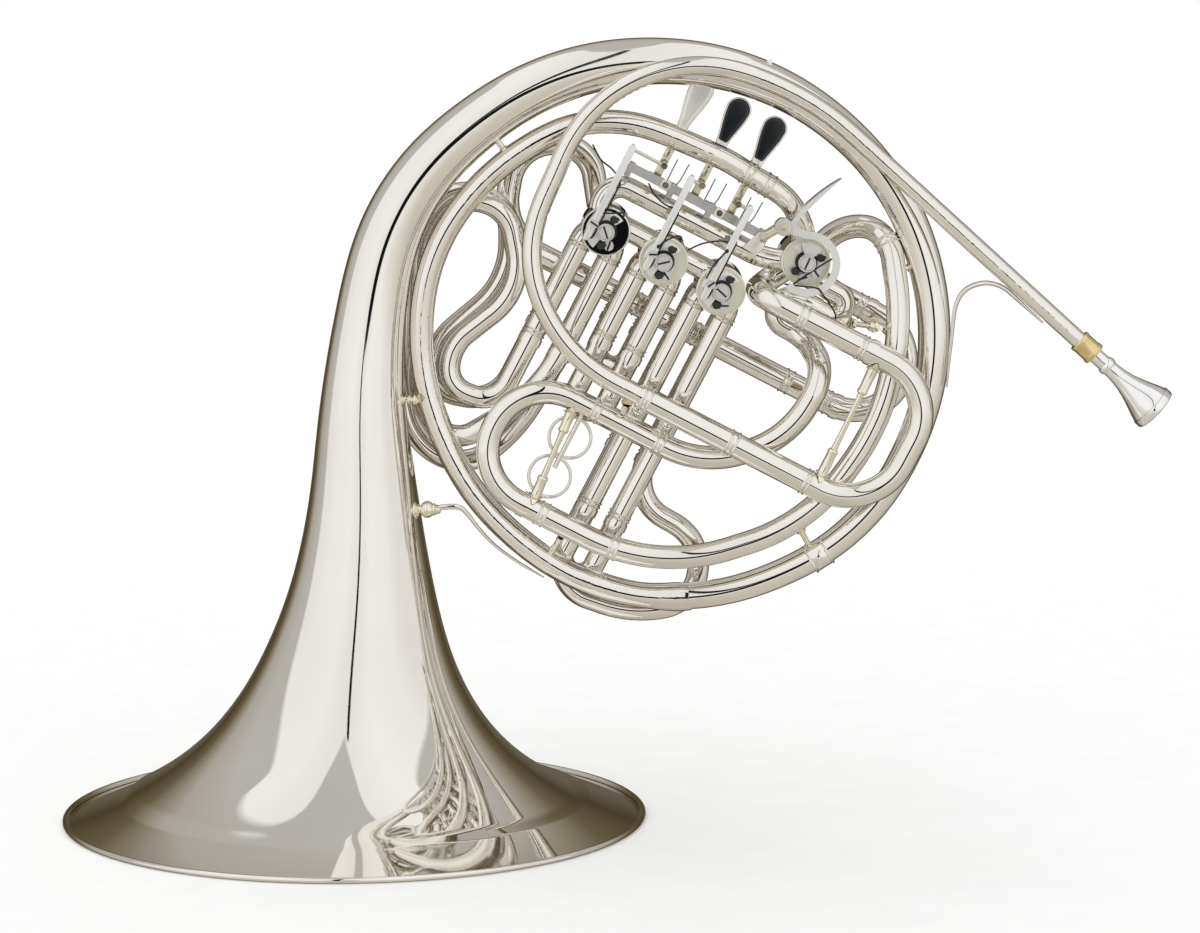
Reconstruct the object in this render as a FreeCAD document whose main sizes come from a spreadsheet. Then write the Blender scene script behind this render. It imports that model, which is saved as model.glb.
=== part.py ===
"""Double french horn with string-driven rotary valves, in millimetres.

The bell stands mouth down. The origin is the centre of the bell's mouth, +Z runs up the bell's axis,
+X points towards the mouthpiece and -Y towards the side that carries the levers and stop plates.
The three finger valves lie in a row that slopes down to the right. Their row has its own directions:
"along" runs down the row from valve 1, "up" is square to it towards the finger levers.
"""
import FreeCAD, Part
import math
import os
from FreeCAD import Matrix, Placement, Rotation, Vector

os.makedirs("parts", exist_ok=True)
doc = FreeCAD.newDocument("french_horn")

# ---------------------------------------------------------------- driving dimensions
DIMENSIONS = [
    ("bell_diameter", 311.0), ("bell_wall", 0.7), ("rim_wire", 3.0),
    ("flare_offset", 62.0), ("flare_power", 1.285), ("flare_base", 1.6), ("throat_reach", 205.0),
    ("tube_wall", 0.5), ("slide_gap", 0.06),
    ("main_tube", 13.2), ("f_tube", 12.6), ("change_tube", 12.8), ("leg_tube", 11.8),
    ("small_tube", 11.4), ("lead_small", 9.2), ("lead_large", 11.0),
    ("branch_small", 12.0), ("branch_large", 14.4),
    ("valve_angle", 27.5), ("valve_pitch", 34.5), ("valve_one_x", 136.0), ("valve_one_z", 316.0),
    ("thumb_along", 102.0), ("thumb_up", 34.5),
    ("casing_outer", 25.6), ("casing_inner", 22.0), ("casing_front", 2.0), ("casing_back", 44.0),
    ("rotor_play", 0.05), ("shaft_diameter", 6.0), ("hub_diameter", 8.5),
    ("leg_offset", 8.9), ("front_layer", 14.0), ("back_layer", 31.0), ("lead_layer", -23.5),
    ("slide_layer", -10.0), ("hinge_up", 36.0), ("hinge_depth", 12.0), ("hinge_pin", 2.4),
    ("pin_up", 45.5), ("bar_depth", -16.0), ("ring_diameter", 24.0), ("ring_wire", 1.7),
    ("mouthpiece_rim", 24.8), ("receiver_outer", 11.6), ("receiver_length", 11.5),
]
sheet = doc.addObject("Spreadsheet::Sheet", "Sizes")
for row, (name, value) in enumerate(DIMENSIONS, start=1):
    sheet.set(f"A{row}", name)
    sheet.set(f"B{row}", str(value))
    sheet.setAlias(f"B{row}", name)
doc.recompute()


def size(name):
    return float(sheet.get(name))


TURN = math.radians(size("valve_angle"))
ALONG = Vector(math.cos(TURN), 0, -math.sin(TURN))
UP = Vector(math.sin(TURN), 0, math.cos(TURN))
BACK = Vector(0, 1, 0)
VALVE_ONE = Vector(size("valve_one_x"), 0, size("valve_one_z"))
WALL = size("tube_wall")
GAP = size("slide_gap")
FRONT, REAR = size("front_layer"), size("back_layer")
LEAD, SLIDE = size("lead_layer"), size("slide_layer")
PITCH = size("valve_pitch")
LEG = size("leg_offset")
VALVES = [(0, 0), (PITCH, 0), (2 * PITCH, 0), (size("thumb_along"), size("thumb_up"))]


def spot(along, up, depth):
    """A point given by its place on the valve row and its depth."""
    return VALVE_ONE + ALONG * along + UP * up + BACK * depth


def points_on_row(*triples):
    return [spot(*triple) for triple in triples]


def flat(*pairs, depth=0.0):
    """Points in one upright plane, given by X and Z."""
    return [Vector(x, depth, z) for x, z in pairs]


# ---------------------------------------------------------------- centrelines
def bend_radii(points, fixed=None):
    """The largest radius that the runs beside each corner allow, or the stated one."""
    radii = []
    last = len(points) - 1
    for i in range(1, last):
        before, after = points[i - 1] - points[i], points[i + 1] - points[i]
        turn = math.pi - before.getAngle(after)
        room_before = before.Length * (1.0 if i == 1 else 0.5)
        room_after = after.Length * (1.0 if i == last - 1 else 0.5)
        radius = 0.98 * min(room_before, room_after) / math.tan(turn / 2)
        stated = (fixed or {}).get(i)
        radii.append(min(radius, stated) if stated else radius)
    return radii


def centreline(points, fixed=None):
    """Straight runs joined by tangent arcs."""
    edges = []
    start = points[0]
    for i, radius in enumerate(bend_radii(points, fixed), start=1):
        corner = points[i]
        back = (points[i - 1] - corner).normalize()
        ahead = (points[i + 1] - corner).normalize()
        turn = math.pi - back.getAngle(ahead)
        reach = radius * math.tan(turn / 2)
        middle = (back + ahead).normalize()
        top = corner + middle * (radius / math.cos(turn / 2) - radius)
        first, second = corner + back * reach, corner + ahead * reach
        if (first - start).Length > 1e-4:
            edges.append(Part.LineSegment(start, first).toShape())
        edges.append(Part.Arc(first, top, second).toShape())
        start = second
    edges.append(Part.LineSegment(start, points[-1]).toShape())
    return Part.Wire(edges)


def station(wire, distance):
    """The point and direction at a distance along a centreline."""
    for edge in wire.OrderedEdges:
        if distance <= edge.Length + 1e-6:
            parameter = edge.getParameterByLength(min(distance, edge.Length))
            forward = edge.Orientation == "Forward"
            if not forward:
                parameter = edge.getParameterByLength(edge.Length - min(distance, edge.Length))
            tangent = edge.tangentAt(parameter)
            return edge.valueAt(parameter), tangent
        distance -= edge.Length
    raise ValueError("distance past the end of the centreline")


def facing(position, direction):
    return Placement(position, Rotation(Vector(0, 0, 1), direction))


# ---------------------------------------------------------------- building blocks
PARTS = []


def bind(item, prop, formula):
    item.setExpression(prop, formula)


def keep(item, label):
    item.Label = label
    PARTS.append(item)
    return item


def circle(name, place, radius_formula):
    ring = doc.addObject("Part::Circle", name)
    bind(ring, "Radius", radius_formula)
    ring.Placement = place
    return ring


def sweep(name, wire, radius_formula):
    spine = doc.addObject("Part::Feature", name + "_line")
    spine.Shape = wire
    point, direction = station(wire, 0)
    section = circle(name + "_section", facing(point, direction), radius_formula)
    solid = doc.addObject("Part::Sweep", name)
    solid.Sections = [section]
    solid.Spine = (spine, [f"Edge{i + 1}" for i in range(len(wire.Edges))])
    solid.Solid = True
    return solid


def cut(name, base, tool):
    result = doc.addObject("Part::Cut", name)
    result.Base = base
    result.Tool = tool
    return result


def union(name, items):
    result = doc.addObject("Part::MultiFuse", name)
    result.Shapes = items
    return result


def group(name, items):
    result = doc.addObject("Part::Compound", name)
    result.Links = items
    return result


def cylinder(name, start, direction, radius_formula, length):
    rod = doc.addObject("Part::Cylinder", name)
    bind(rod, "Radius", radius_formula)
    rod.Height = length
    rod.Placement = facing(start, direction)
    return rod


def rod(name, start, end, radius):
    return cylinder(name, start, end - start, str(radius), (end - start).Length)


def collar(name, middle, direction, inner, outer, length):
    """A plain ring round a tube."""
    start = middle - direction * (length / 2)
    body = cylinder(name + "_body", start, direction, str(outer / 2), length)
    hole = cylinder(name + "_hole", start, direction, str(inner / 2), length)
    return cut(name, body, hole)


def valve_core(name, index, radius_formula):
    """A solid cylinder on one valve's axis, for trimming what meets the casing."""
    along, up = VALVES[index]
    start = spot(along, up, -30)
    return cylinder(name, start, BACK, radius_formula, 110)


def tube(name, wire, bore, valves=(), inner_clear=0.0):
    """A bent tube of one diameter; its ends are trimmed to the casings of the valves named."""
    outer = sweep(name + "_outer", wire, f"Sizes.{bore} / 2 - {inner_clear}")
    inner = sweep(name + "_inner", wire, f"Sizes.{bore} / 2 - {inner_clear} - Sizes.tube_wall")
    result = cut(name + "_shell", outer, inner)
    for index in valves:
        core = valve_core(f"{name}_core_{index + 1}", index, "Sizes.casing_outer / 2 - 0.6")
        result = cut(f"{name}_trim_{index + 1}", result, core)
    return result


def cone_tube(name, wire, distances, formulas, wall_formula="Sizes.tube_wall"):
    """A tapering bent tube lofted through circles at distances along its centreline."""
    shells = []
    for side, wall in (("outer", "0"), ("inner", wall_formula)):
        sections = []
        for i, (distance, formula) in enumerate(zip(distances, formulas)):
            point, direction = station(wire, distance)
            place = facing(point, direction)
            sections.append(circle(f"{name}_{side}_{i}", place, f"({formula}) / 2 - {wall}"))
        loft = doc.addObject("Part::Loft", f"{name}_{side}")
        loft.Sections = sections
        loft.Solid = True
        loft.Ruled = False
        shells.append(loft)
    return cut(name, *shells)


def spaced(length, step):
    count = max(4, round(length / step))
    return [length * i / count for i in range(count + 1)]


def linear_taper(length, distances, small, large):
    return [f"Sizes.{small} + (Sizes.{large} - Sizes.{small}) * {d / length:.5f}" for d in distances]


def turned(label, profile, place):
    """A turned part: a closed outline of (radius, height) points revolved about its own Z axis."""
    body = doc.addObject("PartDesign::Body", label)
    plane = next(f for f in body.Origin.OriginFeatures if f.Role == "XZ_Plane")
    sketch = body.newObject("Sketcher::SketchObject", label + "_outline")
    sketch.AttachmentSupport = [(plane, "")]
    sketch.MapMode = "FlatFace"
    corners = [Vector(radius, height, 0) for radius, height in profile]
    for i, corner in enumerate(corners):
        sketch.addGeometry(Part.LineSegment(corner, corners[(i + 1) % len(corners)]))
    turn = body.newObject("PartDesign::Revolution", label + "_turn")
    turn.Profile = sketch
    turn.ReferenceAxis = (sketch, ["V_Axis"])
    turn.Angle = 360
    body.Placement = place
    return body


def plate(label, outline, thickness, place, holes=()):
    """A flat part: an outline of points, or of curves, padded by its thickness."""
    body = doc.addObject("PartDesign::Body", label)
    plane = next(f for f in body.Origin.OriginFeatures if f.Role == "XY_Plane")
    sketch = body.newObject("Sketcher::SketchObject", label + "_outline")
    sketch.AttachmentSupport = [(plane, "")]
    sketch.MapMode = "FlatFace"
    if isinstance(outline[0], tuple):
        corners = [Vector(x, y, 0) for x, y in outline]
        outline = [Part.LineSegment(c, corners[(i + 1) % len(corners)]) for i, c in enumerate(corners)]
    for curve in outline:
        sketch.addGeometry(curve)
    for x, y, radius in holes:
        sketch.addGeometry(Part.Circle(Vector(x, y, 0), Vector(0, 0, 1), radius))
    pad = body.newObject("PartDesign::Pad", label + "_pad")
    pad.Profile = sketch
    pad.Length = thickness
    body.Placement = place
    return body


def row_place(along, up, depth):
    """Local X along the row, local Y up, local Z towards the front."""
    frame = Matrix(ALONG.x, UP.x, 0, 0, 0, 0, -1, 0, ALONG.z, UP.z, 0, 0, 0, 0, 0, 1)
    return Placement(spot(along, up, depth), Placement(frame).Rotation)


# ---------------------------------------------------------------- bell and first branch
HORN_LINE = (
    flat((0, 0), (0.5, 50), (7, 150), (5, 246), (24, 339), (111, 407), (219, 405), (298, 339), (318, 240))
    + flat((275, 152), (194, 116), (122, 124)) + flat((62, 172), (35, 241), depth=4.0)
    + flat((41, 304), (76, 351))
    + flat((131, 380), (190, 360))
    + points_on_row((92, 59, 4), (98, 38, FRONT))
)
horn_wire = centreline(HORN_LINE)
TAIL_END = 938.0
FLARE = (
    "2 * (Sizes.flare_base + (Sizes.bell_diameter / 2 - Sizes.flare_base)"
    " * (Sizes.flare_offset / (Sizes.flare_offset + {0})) ^ Sizes.flare_power)"
)
FLARE_REACH, FLARE_STEPS, TAIL_STEPS = 205.0, 16, 30
TAIL_TAPER = [(FLARE_REACH, None), (240, 42.6), (275, 37.4), (330, 33.2), (390, 29.4), (450, 26.8), (540, 22.4),
              (610, 19.2), (700, 17.8), (780, 16.3), (860, 15.2), (TAIL_END, 14.4)]


def flare_diameter(distance):
    base, offset = size("flare_base"), size("flare_offset")
    spread = (offset / (offset + distance)) ** size("flare_power")
    return 2 * (base + (size("bell_diameter") / 2 - base) * spread)


def tail_diameter(distance):
    """The tail's diameter between the measured places, as a straight taper from each to the next."""
    steps = [(place, flare_diameter(place) if value is None else value) for place, value in TAIL_TAPER]
    for (near, wide), (far, narrow) in zip(steps, steps[1:]):
        if distance <= far:
            return wide + (narrow - wide) * (distance - near) / (far - near)
    return steps[-1][1]


def make_bell():
    """Sections crowd together towards the rim, where the flare opens fastest."""
    opening = [FLARE_REACH * (i / FLARE_STEPS) ** 2 for i in range(FLARE_STEPS + 1)]
    formulas = [FLARE.format(round(s, 3)) for s in opening]
    keep(cone_tube("flare", horn_wire, opening, formulas, "Sizes.bell_wall"), "bell_flare")
    rest = TAIL_END - FLARE_REACH
    stations = [FLARE_REACH + rest * i / TAIL_STEPS for i in range(TAIL_STEPS + 1)]
    shares = [tail_diameter(s) / size("bell_diameter") for s in stations]
    formulas = [f"{share:.6f} * Sizes.bell_diameter" for share in shares]
    keep(cone_tube("tail", horn_wire, stations, formulas), "bell_tail")
    wire_ring = doc.addObject("Part::Torus", "rim")
    bind(wire_ring, "Radius1", "Sizes.bell_diameter / 2 + 0.2")
    bind(wire_ring, "Radius2", "Sizes.rim_wire / 2")
    wire_ring.Placement = Placement(Vector(0, 0, size("rim_wire") / 2), Rotation())
    keep(wire_ring, "bell_rim_wire")


def make_first_branch():
    length = horn_wire.Length - TAIL_END
    steps = spaced(length, 20)
    formulas = linear_taper(length, steps, "branch_large", "branch_small")
    branch = cone_tube("branch", horn_wire, [TAIL_END + s for s in steps], formulas)
    core = valve_core("branch_core", 3, "Sizes.casing_outer / 2 - 0.6")
    keep(cut("branch_trim", branch, core), "first_branch")


def ring_on(name, wire, distance, bore, length=4.0, rise=1.2):
    point, direction = station(wire, distance)
    return collar(name, point, direction, bore, bore + rise, length)


# ---------------------------------------------------------------- leadpipe and main slide
MAIN_LOW, MAIN_HIGH = -67.5, 9.0
LEAD_LINE = flat((388, 257), (242, 389), (181, 409), (126, 385), (91, 306), depth=LEAD)
LEAD_LINE += points_on_row((11, MAIN_LOW, LEAD), (56, MAIN_LOW, LEAD))
lead_wire = centreline(LEAD_LINE)
SLEEVE_LOW_END, SLEEVE_HIGH_END = 157.0, 150.0
low_sleeve_wire = centreline(points_on_row((55, MAIN_LOW, LEAD), (SLEEVE_LOW_END, MAIN_LOW, LEAD)))
HIGH_SLEEVE = points_on_row(
    (SLEEVE_HIGH_END, MAIN_HIGH, LEAD), (87.5, MAIN_HIGH, LEAD), (87.5, MAIN_HIGH, REAR), (97, 26, REAR)
)
high_sleeve_wire = centreline(HIGH_SLEEVE, {1: 13.0, 2: 12.0})
bow_wire = centreline(
    points_on_row(
        (SLEEVE_LOW_END + 0.1, MAIN_LOW, LEAD), (195, MAIN_LOW, LEAD),
        (195, MAIN_HIGH, LEAD), (SLEEVE_HIGH_END + 0.1, MAIN_HIGH, LEAD),
    ),
    {1: 32.0, 2: 31.0},
)


def make_leadpipe():
    length = lead_wire.Length
    steps = spaced(length, 18)
    formulas = linear_taper(length, steps, "lead_small", "lead_large")
    keep(cone_tube("lead", lead_wire, steps, formulas), "leadpipe")
    point, direction = station(lead_wire, 0)
    ring_length = size("receiver_length")
    start = point - direction * (ring_length - 4)
    body = cylinder("receiver_body", start, direction, "Sizes.receiver_outer / 2", ring_length)
    bore = cylinder("receiver_bore", start - direction, direction, "Sizes.lead_small / 2", ring_length + 2)
    keep(cut("receiver", body, bore), "receiver_ring")


def inner_leg(name, start, end, bore_name):
    """The thinner tube of a slide leg, running inside its sleeve."""
    wire = centreline([start, end])
    return tube(name, wire, bore_name, inner_clear=WALL + GAP)


def make_slide(label, wire, bore_name, first_end, last_end, inserted=30.0, extras=()):
    """A bow with its two inner legs; each leg reaches back into its sleeve."""
    first_point, first_direction = station(wire, 0)
    last_point, last_direction = station(wire, wire.Length)
    legs = [
        inner_leg(label + "_leg_a", first_point - first_direction * first_end,
                  first_point + first_direction * 4, bore_name),
        inner_leg(label + "_leg_b", last_point + last_direction * last_end,
                  last_point - last_direction * 4, bore_name),
    ]
    bow = tube(label + "_bow", wire, bore_name)
    keep(group(label + "_set", [bow, *legs, *extras]), label)


def make_main_slide():
    keep(tube("low_sleeve", low_sleeve_wire, "main_tube"), "main_sleeve_lower")
    keep(tube("high_sleeve", high_sleeve_wire, "main_tube", valves=[3]), "main_sleeve_upper")
    bore = size("main_tube")
    rings = [
        ring_on("bow_ring_a", bow_wire, 6, bore), ring_on("bow_ring_b", bow_wire, bow_wire.Length - 3, bore),
    ]
    make_slide("main_slide_bow", bow_wire, "main_tube", 45, 45, extras=rings)
    keep(strut("main_strut", spot(160, MAIN_LOW + 6.6, LEAD), spot(158, MAIN_HIGH - 6.6, LEAD)),
         "main_slide_strut")


# ---------------------------------------------------------------- F slide and its loops
F_HIGH, F_LOW, F_END = -86.5, -149.0, 36.0
f_bow_wire = centreline(
    points_on_row(
        (F_END - 0.1, F_HIGH, SLIDE), (-5.5, F_HIGH, SLIDE), (-5.5, F_LOW, SLIDE), (F_END - 0.1, F_LOW, SLIDE)
    ),
    {1: 31.2, 2: 31.2},
)
F_ARC_LINE = (
    points_on_row((F_END, F_HIGH, SLIDE), (104, F_HIGH, SLIDE))
    + flat((233, 207), (253, 241), depth=SLIDE)
    + points_on_row((121, -2, FRONT), (101, -2, FRONT), (101, 14, FRONT), (121, 14, FRONT))
)
f_arc_wire = centreline(F_ARC_LINE)
F_RING_LINE = (
    points_on_row((F_END, F_LOW, SLIDE), (107, F_LOW, SLIDE))
    + flat((243, 160), (282, 214), (293, 268), depth=SLIDE)
    + [Vector(286, 0, 317), Vector(261, 22, 318), Vector(247, REAR, 300)]
)
f_ring_wire = centreline(F_RING_LINE)
crook_wire = centreline(
    points_on_row((121.1, 14, FRONT), (133, 14, FRONT), (133, 27, FRONT), (121.1, 27, FRONT)),
    {1: 6.4, 2: 6.4},
)


def make_f_side():
    keep(tube("f_arc", f_arc_wire, "f_tube"), "f_upper_tube")
    keep(tube("f_ring", f_ring_wire, "f_tube", valves=[3]), "f_lower_tube")
    bore = size("f_tube")
    rings = [ring_on("f_ring_a", f_bow_wire, 8, bore),
             ring_on("f_ring_b", f_bow_wire, f_bow_wire.Length - 8, bore)]
    make_slide("f_slide_bow", f_bow_wire, "f_tube", 32, 32, extras=rings)
    keep(strut("f_strut", spot(27.5, F_HIGH - 6.3, SLIDE), spot(31.5, F_LOW + 6.3, SLIDE)), "f_slide_strut")
    make_pull_rings()
    make_slide("thumb_crook", crook_wire, "small_tube", 6, 6)


def make_pull_rings():
    """Two wire finger rings hung on a thin rod beside the F slide's strut."""
    depth = SLIDE + 1.0
    hanger = rod("ring_hanger", spot(33.4, F_HIGH - 6.2, depth), spot(33.5, -124.0, depth), 1.3)
    rings = []
    for i, up in enumerate((-106.0, -129.5)):
        ring = doc.addObject("Part::Torus", f"pull_ring_{i + 1}")
        bind(ring, "Radius1", "(Sizes.ring_diameter - Sizes.ring_wire) / 2")
        bind(ring, "Radius2", "Sizes.ring_wire / 2")
        ring.Placement = facing(spot(33.5, up, depth + 2.3), BACK)
        rings.append(ring)
    keep(group("rings", [hanger, *rings]), "pull_rings")


# ---------------------------------------------------------------- change run behind the valves
CHANGE_LOW, CHANGE_HIGH, CHANGE_DEPTH, CHANGE_END = -30.0, 25.0, 45.0, 146.0
CHANGE_LINE = (
    points_on_row((-9, 9, REAR))
    + flat((127, 361), (88, 360), (79, 311), depth=CHANGE_DEPTH)
    + points_on_row((2, CHANGE_LOW, CHANGE_DEPTH), (CHANGE_END + 8, CHANGE_LOW, CHANGE_DEPTH))
)
change_wire = centreline(CHANGE_LINE)
change_bow_wire = centreline(
    points_on_row(
        (CHANGE_END + 8.1, CHANGE_LOW, CHANGE_DEPTH), (182, CHANGE_LOW, CHANGE_DEPTH),
        (182, CHANGE_HIGH, CHANGE_DEPTH), (CHANGE_END + 0.1, CHANGE_HIGH, CHANGE_DEPTH),
    ),
    {1: 27.4, 2: 27.4},
)
change_high_wire = centreline(
    points_on_row(
        (CHANGE_END, CHANGE_HIGH, CHANGE_DEPTH), (126, CHANGE_HIGH, CHANGE_DEPTH), (110, 29, REAR)
    ),
    {1: 13.0},
)


def make_change_run():
    keep(tube("change", change_wire, "change_tube", valves=[0]), "change_run_lower")
    keep(tube("change_high", change_high_wire, "change_tube", valves=[3]), "change_run_upper")
    bore = size("change_tube")
    rings = [
        ring_on("change_ring_a", change_bow_wire, 3, bore),
        ring_on("change_ring_b", change_bow_wire, change_bow_wire.Length - 3, bore),
    ]
    make_slide("change_slide_bow", change_bow_wire, "change_tube", 24, 12, extras=rings)


# ---------------------------------------------------------------- valve slides
SLIDE_ENDS = {"front": (-68.0, -52.0, -136.0), "rear": (-60.0, -40.0, -100.0)}


def legs_of(valve):
    along = VALVES[valve][0]
    return along - LEG, along + LEG


def slide_route(valve, layer):
    """The centreline of one valve slide, from the end of its left sleeve to that of its right one."""
    left, right = legs_of(valve)
    depth = FRONT if layer == "front" else REAR
    end = SLIDE_ENDS[layer][valve] - 0.1
    fixed = None
    if valve == 1:
        bottom = -91.0 if layer == "front" else -66.0
        middle = points_on_row((left, bottom, depth), (right, bottom, depth))
        fixed = {1: LEG - 0.05, 2: LEG - 0.05}
    elif valve == 2 and layer == "front":
        middle = points_on_row((left, -173, depth), (right, -173, depth))
        fixed = {1: LEG - 0.05, 2: LEG - 0.05}
    elif valve == 2:
        middle = points_on_row((left, -188, depth))
        middle += flat((150, 105), (184, 111), (188, 146), depth=depth)
        middle += points_on_row((right, -125, depth))
    elif layer == "front":
        middle = points_on_row((left, -111, depth))
        middle += flat((51, 232), (53, 254), (92, 284), (84, 327), (58, 334), depth=depth)
        middle += flat((40, 312), (36, 262), depth=22.0)
        middle += flat((34, 224), (52, 199), depth=depth + 4)
        middle += points_on_row((right, -95, depth))
    else:
        middle = points_on_row((left, -112, depth))
        middle += flat((42, 228), (44, 254), (84, 287), (84, 330), (52, 338), (27, 306), depth=depth)
        middle += flat((23, 250), (30, 200), (60, 184), depth=depth + 4)
        middle += points_on_row((right, -116, depth))
    ends = points_on_row((left, end, depth)), points_on_row((right, end, depth))
    return centreline(ends[0] + middle + ends[1], fixed)


def make_valve_slides():
    bore = size("leg_tube")
    sleeves = []
    for layer, depth in (("front", FRONT), ("rear", REAR)):
        for valve in range(3):
            end = SLIDE_ENDS[layer][valve]
            for side, along in zip("lr", legs_of(valve)):
                name = f"sleeve_{layer}_{valve + 1}{side}"
                line = centreline(
                    points_on_row((PITCH * valve, -2, depth), (along, -2, depth), (along, end, depth)),
                    {1: LEG - 0.1},
                )
                sleeves.append(tube(name, line, "leg_tube", [valve]))
            wire = slide_route(valve, layer)
            rings = [
                ring_on(f"{layer}_{valve + 1}_ring_a", wire, 3, bore),
                ring_on(f"{layer}_{valve + 1}_ring_b", wire, wire.Length - 3, bore),
            ]
            make_slide(f"valve_{valve + 1}_{layer}_slide", wire, "leg_tube", 26, 26, extras=rings)
    keep(group("sleeves", sleeves), "valve_slide_sleeves")


# ---------------------------------------------------------------- tubes between the valves
def make_links():
    crossing = centreline(
        points_on_row((-8, 8, FRONT), (-13, 25, FRONT), (84, 25, FRONT), (94, 30, FRONT)), {1: 11.0}
    )
    keep(tube("crossing", crossing, "leg_tube", valves=[0, 3]), "crossing_tube")
    links = []
    for i in range(2):
        for layer, depth in (("front", FRONT), ("rear", REAR)):
            line = centreline(points_on_row((PITCH * i + 4, 5, depth), (PITCH * (i + 1) - 4, 5, depth)))
            links.append(tube(f"link_{layer}_{i + 1}", line, "small_tube", [i, i + 1]))
    port = centreline(points_on_row((108, 27, FRONT), (121, 27, FRONT)))
    links.append(tube("crook_port", port, "small_tube", [3]))
    keep(group("links", links), "valve_links")


# ---------------------------------------------------------------- valves
CASING_FRONT, CASING_BACK = size("casing_front"), size("casing_back")
BUMPER_ANGLE = 83.0


def valve_axis_start(index, depth):
    along, up = VALVES[index]
    return spot(along, up, depth)


def on_disc(index, radius, angle, depth):
    """A point on a valve's face, the angle counted from the row's direction towards up."""
    along, up = VALVES[index]
    turn = math.radians(angle)
    return spot(along + radius * math.cos(turn), up + radius * math.sin(turn), depth)


def disc_stack(name, index, slices):
    """Coaxial rings on one valve: each slice gives front depth, back depth, inner and outer radius."""
    rings = []
    for i, (front, back, inner, outer) in enumerate(slices):
        start = valve_axis_start(index, front)
        ring = cylinder(f"{name}_disc_{i}", start, BACK, outer, back - front)
        if inner:
            hole = cylinder(f"{name}_hole_{i}", start - BACK, BACK, inner, back - front + 2)
            ring = cut(f"{name}_ring_{i}", ring, hole)
        rings.append(ring)
    return rings


def make_valve(index):
    number = index + 1
    casing = disc_stack(
        f"casing_{number}", index,
        [(CASING_FRONT, CASING_BACK, "Sizes.casing_inner / 2", "Sizes.casing_outer / 2")],
    )[0]
    keep(casing, f"valve_casing_{number}")
    slices = [
        (CASING_FRONT + 0.4, CASING_BACK - 0.4, None, "Sizes.casing_inner / 2 - Sizes.rotor_play"),
        (-6.5, CASING_FRONT + 0.4, None, "Sizes.shaft_diameter / 2"),
        (CASING_BACK - 0.4, CASING_BACK + 2.0, None, "2.5"),
        (-11.5, -6.5, None, "Sizes.hub_diameter / 2"),
        (-13.2, -11.5, None, "4.0"),
    ]
    solids = disc_stack(f"rotor_{number}", index, slices)
    passages = []
    for k, (side, depth) in enumerate([(1, FRONT), (-1, FRONT), (1, REAR), (-1, REAR)]):
        along, up = VALVES[index]
        start = spot(along + side * 8.5, up - 14, depth)
        inside = "Sizes.leg_tube / 2 - Sizes.tube_wall"
        passages.append(cylinder(f"passage_{number}_{k}", start, UP, inside, 28))
    barrel = cut(f"rotor_{number}_barrel", solids[0], union(f"rotor_{number}_passages", passages))
    slot_place = row_place(*VALVES[index], -13.3)
    slot = doc.addObject("Part::Box", f"screw_slot_{number}")
    slot.Length, slot.Width, slot.Height = 9.0, 1.0, 1.2
    slot_turn = slot_place.Rotation * Rotation(Vector(0, 0, 1), 60)
    slot.Placement = Placement(slot_place.multVec(Vector(0, 0, -1.0)), slot_turn)
    offset = slot.Placement.Rotation.multVec(Vector(-4.5, -0.5, 0))
    slot.Placement = Placement(slot.Placement.Base + offset, slot.Placement.Rotation)
    screw = cut(f"rotor_{number}_screw", solids[4], slot)
    lug = stop_lug(number, index)
    shaft = union(f"rotor_{number}_fused", [barrel, solids[1], solids[2], solids[3], lug])
    keep(group(f"rotor_{number}_set", [shaft, screw]), f"rotor_{number}")


def stop_lug(number, index):
    """The lug that swings between the two bumpers."""
    rest = 225.0 if index < 3 else 100.0
    low, high = math.radians(rest - 33), math.radians(rest + 33)
    inner, outer = 3.5, 10.6

    def polar(radius, angle):
        return Vector(radius * math.cos(angle), radius * math.sin(angle), 0)

    middle = (low + high) / 2
    outline = [
        Part.LineSegment(polar(inner, low), polar(outer, low)),
        Part.Arc(polar(outer, low), polar(outer, middle), polar(outer, high)),
        Part.LineSegment(polar(outer, high), polar(inner, high)),
        Part.Arc(polar(inner, high), polar(inner, middle), polar(inner, low)),
    ]
    return plate(f"lug_{number}", outline, 2.2, row_place(*VALVES[index], -6.4))


def bumper_angles(index):
    return (BUMPER_ANGLE, -BUMPER_ANGLE) if index < 3 else (46.0, -116.0)


def make_valve_faces():
    plates, corks, caps = [], [], []
    for index in range(4):
        plates += disc_stack(
            f"bearing_{index + 1}", index,
            [(-2.0, CASING_FRONT, "Sizes.shaft_diameter / 2 + Sizes.rotor_play", "Sizes.casing_outer / 2")],
        )
        for side, angle in enumerate(bumper_angles(index)):
            foot = on_disc(index, 7.7, angle, -2.0)
            corks.append(cylinder(f"cork_{index + 1}{side}", foot, -BACK, "2.0", 6.4))
        caps += disc_stack(
            f"cap_{index + 1}", index,
            [(CASING_BACK, CASING_BACK + 3, "2.55", "Sizes.casing_outer / 2"),
             (CASING_BACK + 3, CASING_BACK + 6, None, "Sizes.casing_outer / 2 + 0.6")],
        )
    keep(group("bearings", plates), "bearing_plates")
    keep(group("corks", corks), "stop_bumpers")
    keep(group("caps", caps), "rear_valve_caps")


# ---------------------------------------------------------------- levers
HINGE_UP, HINGE_DEPTH = size("hinge_up"), size("hinge_depth")
PIN_UP, BAR_DEPTH = size("pin_up"), size("bar_depth")
SHANKS = [11.0, 33.5, 55.0]
BARS = [-8.0, 27.0, 61.5]
STRING_SIDE = size("hub_diameter") / 2 + 0.3


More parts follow.
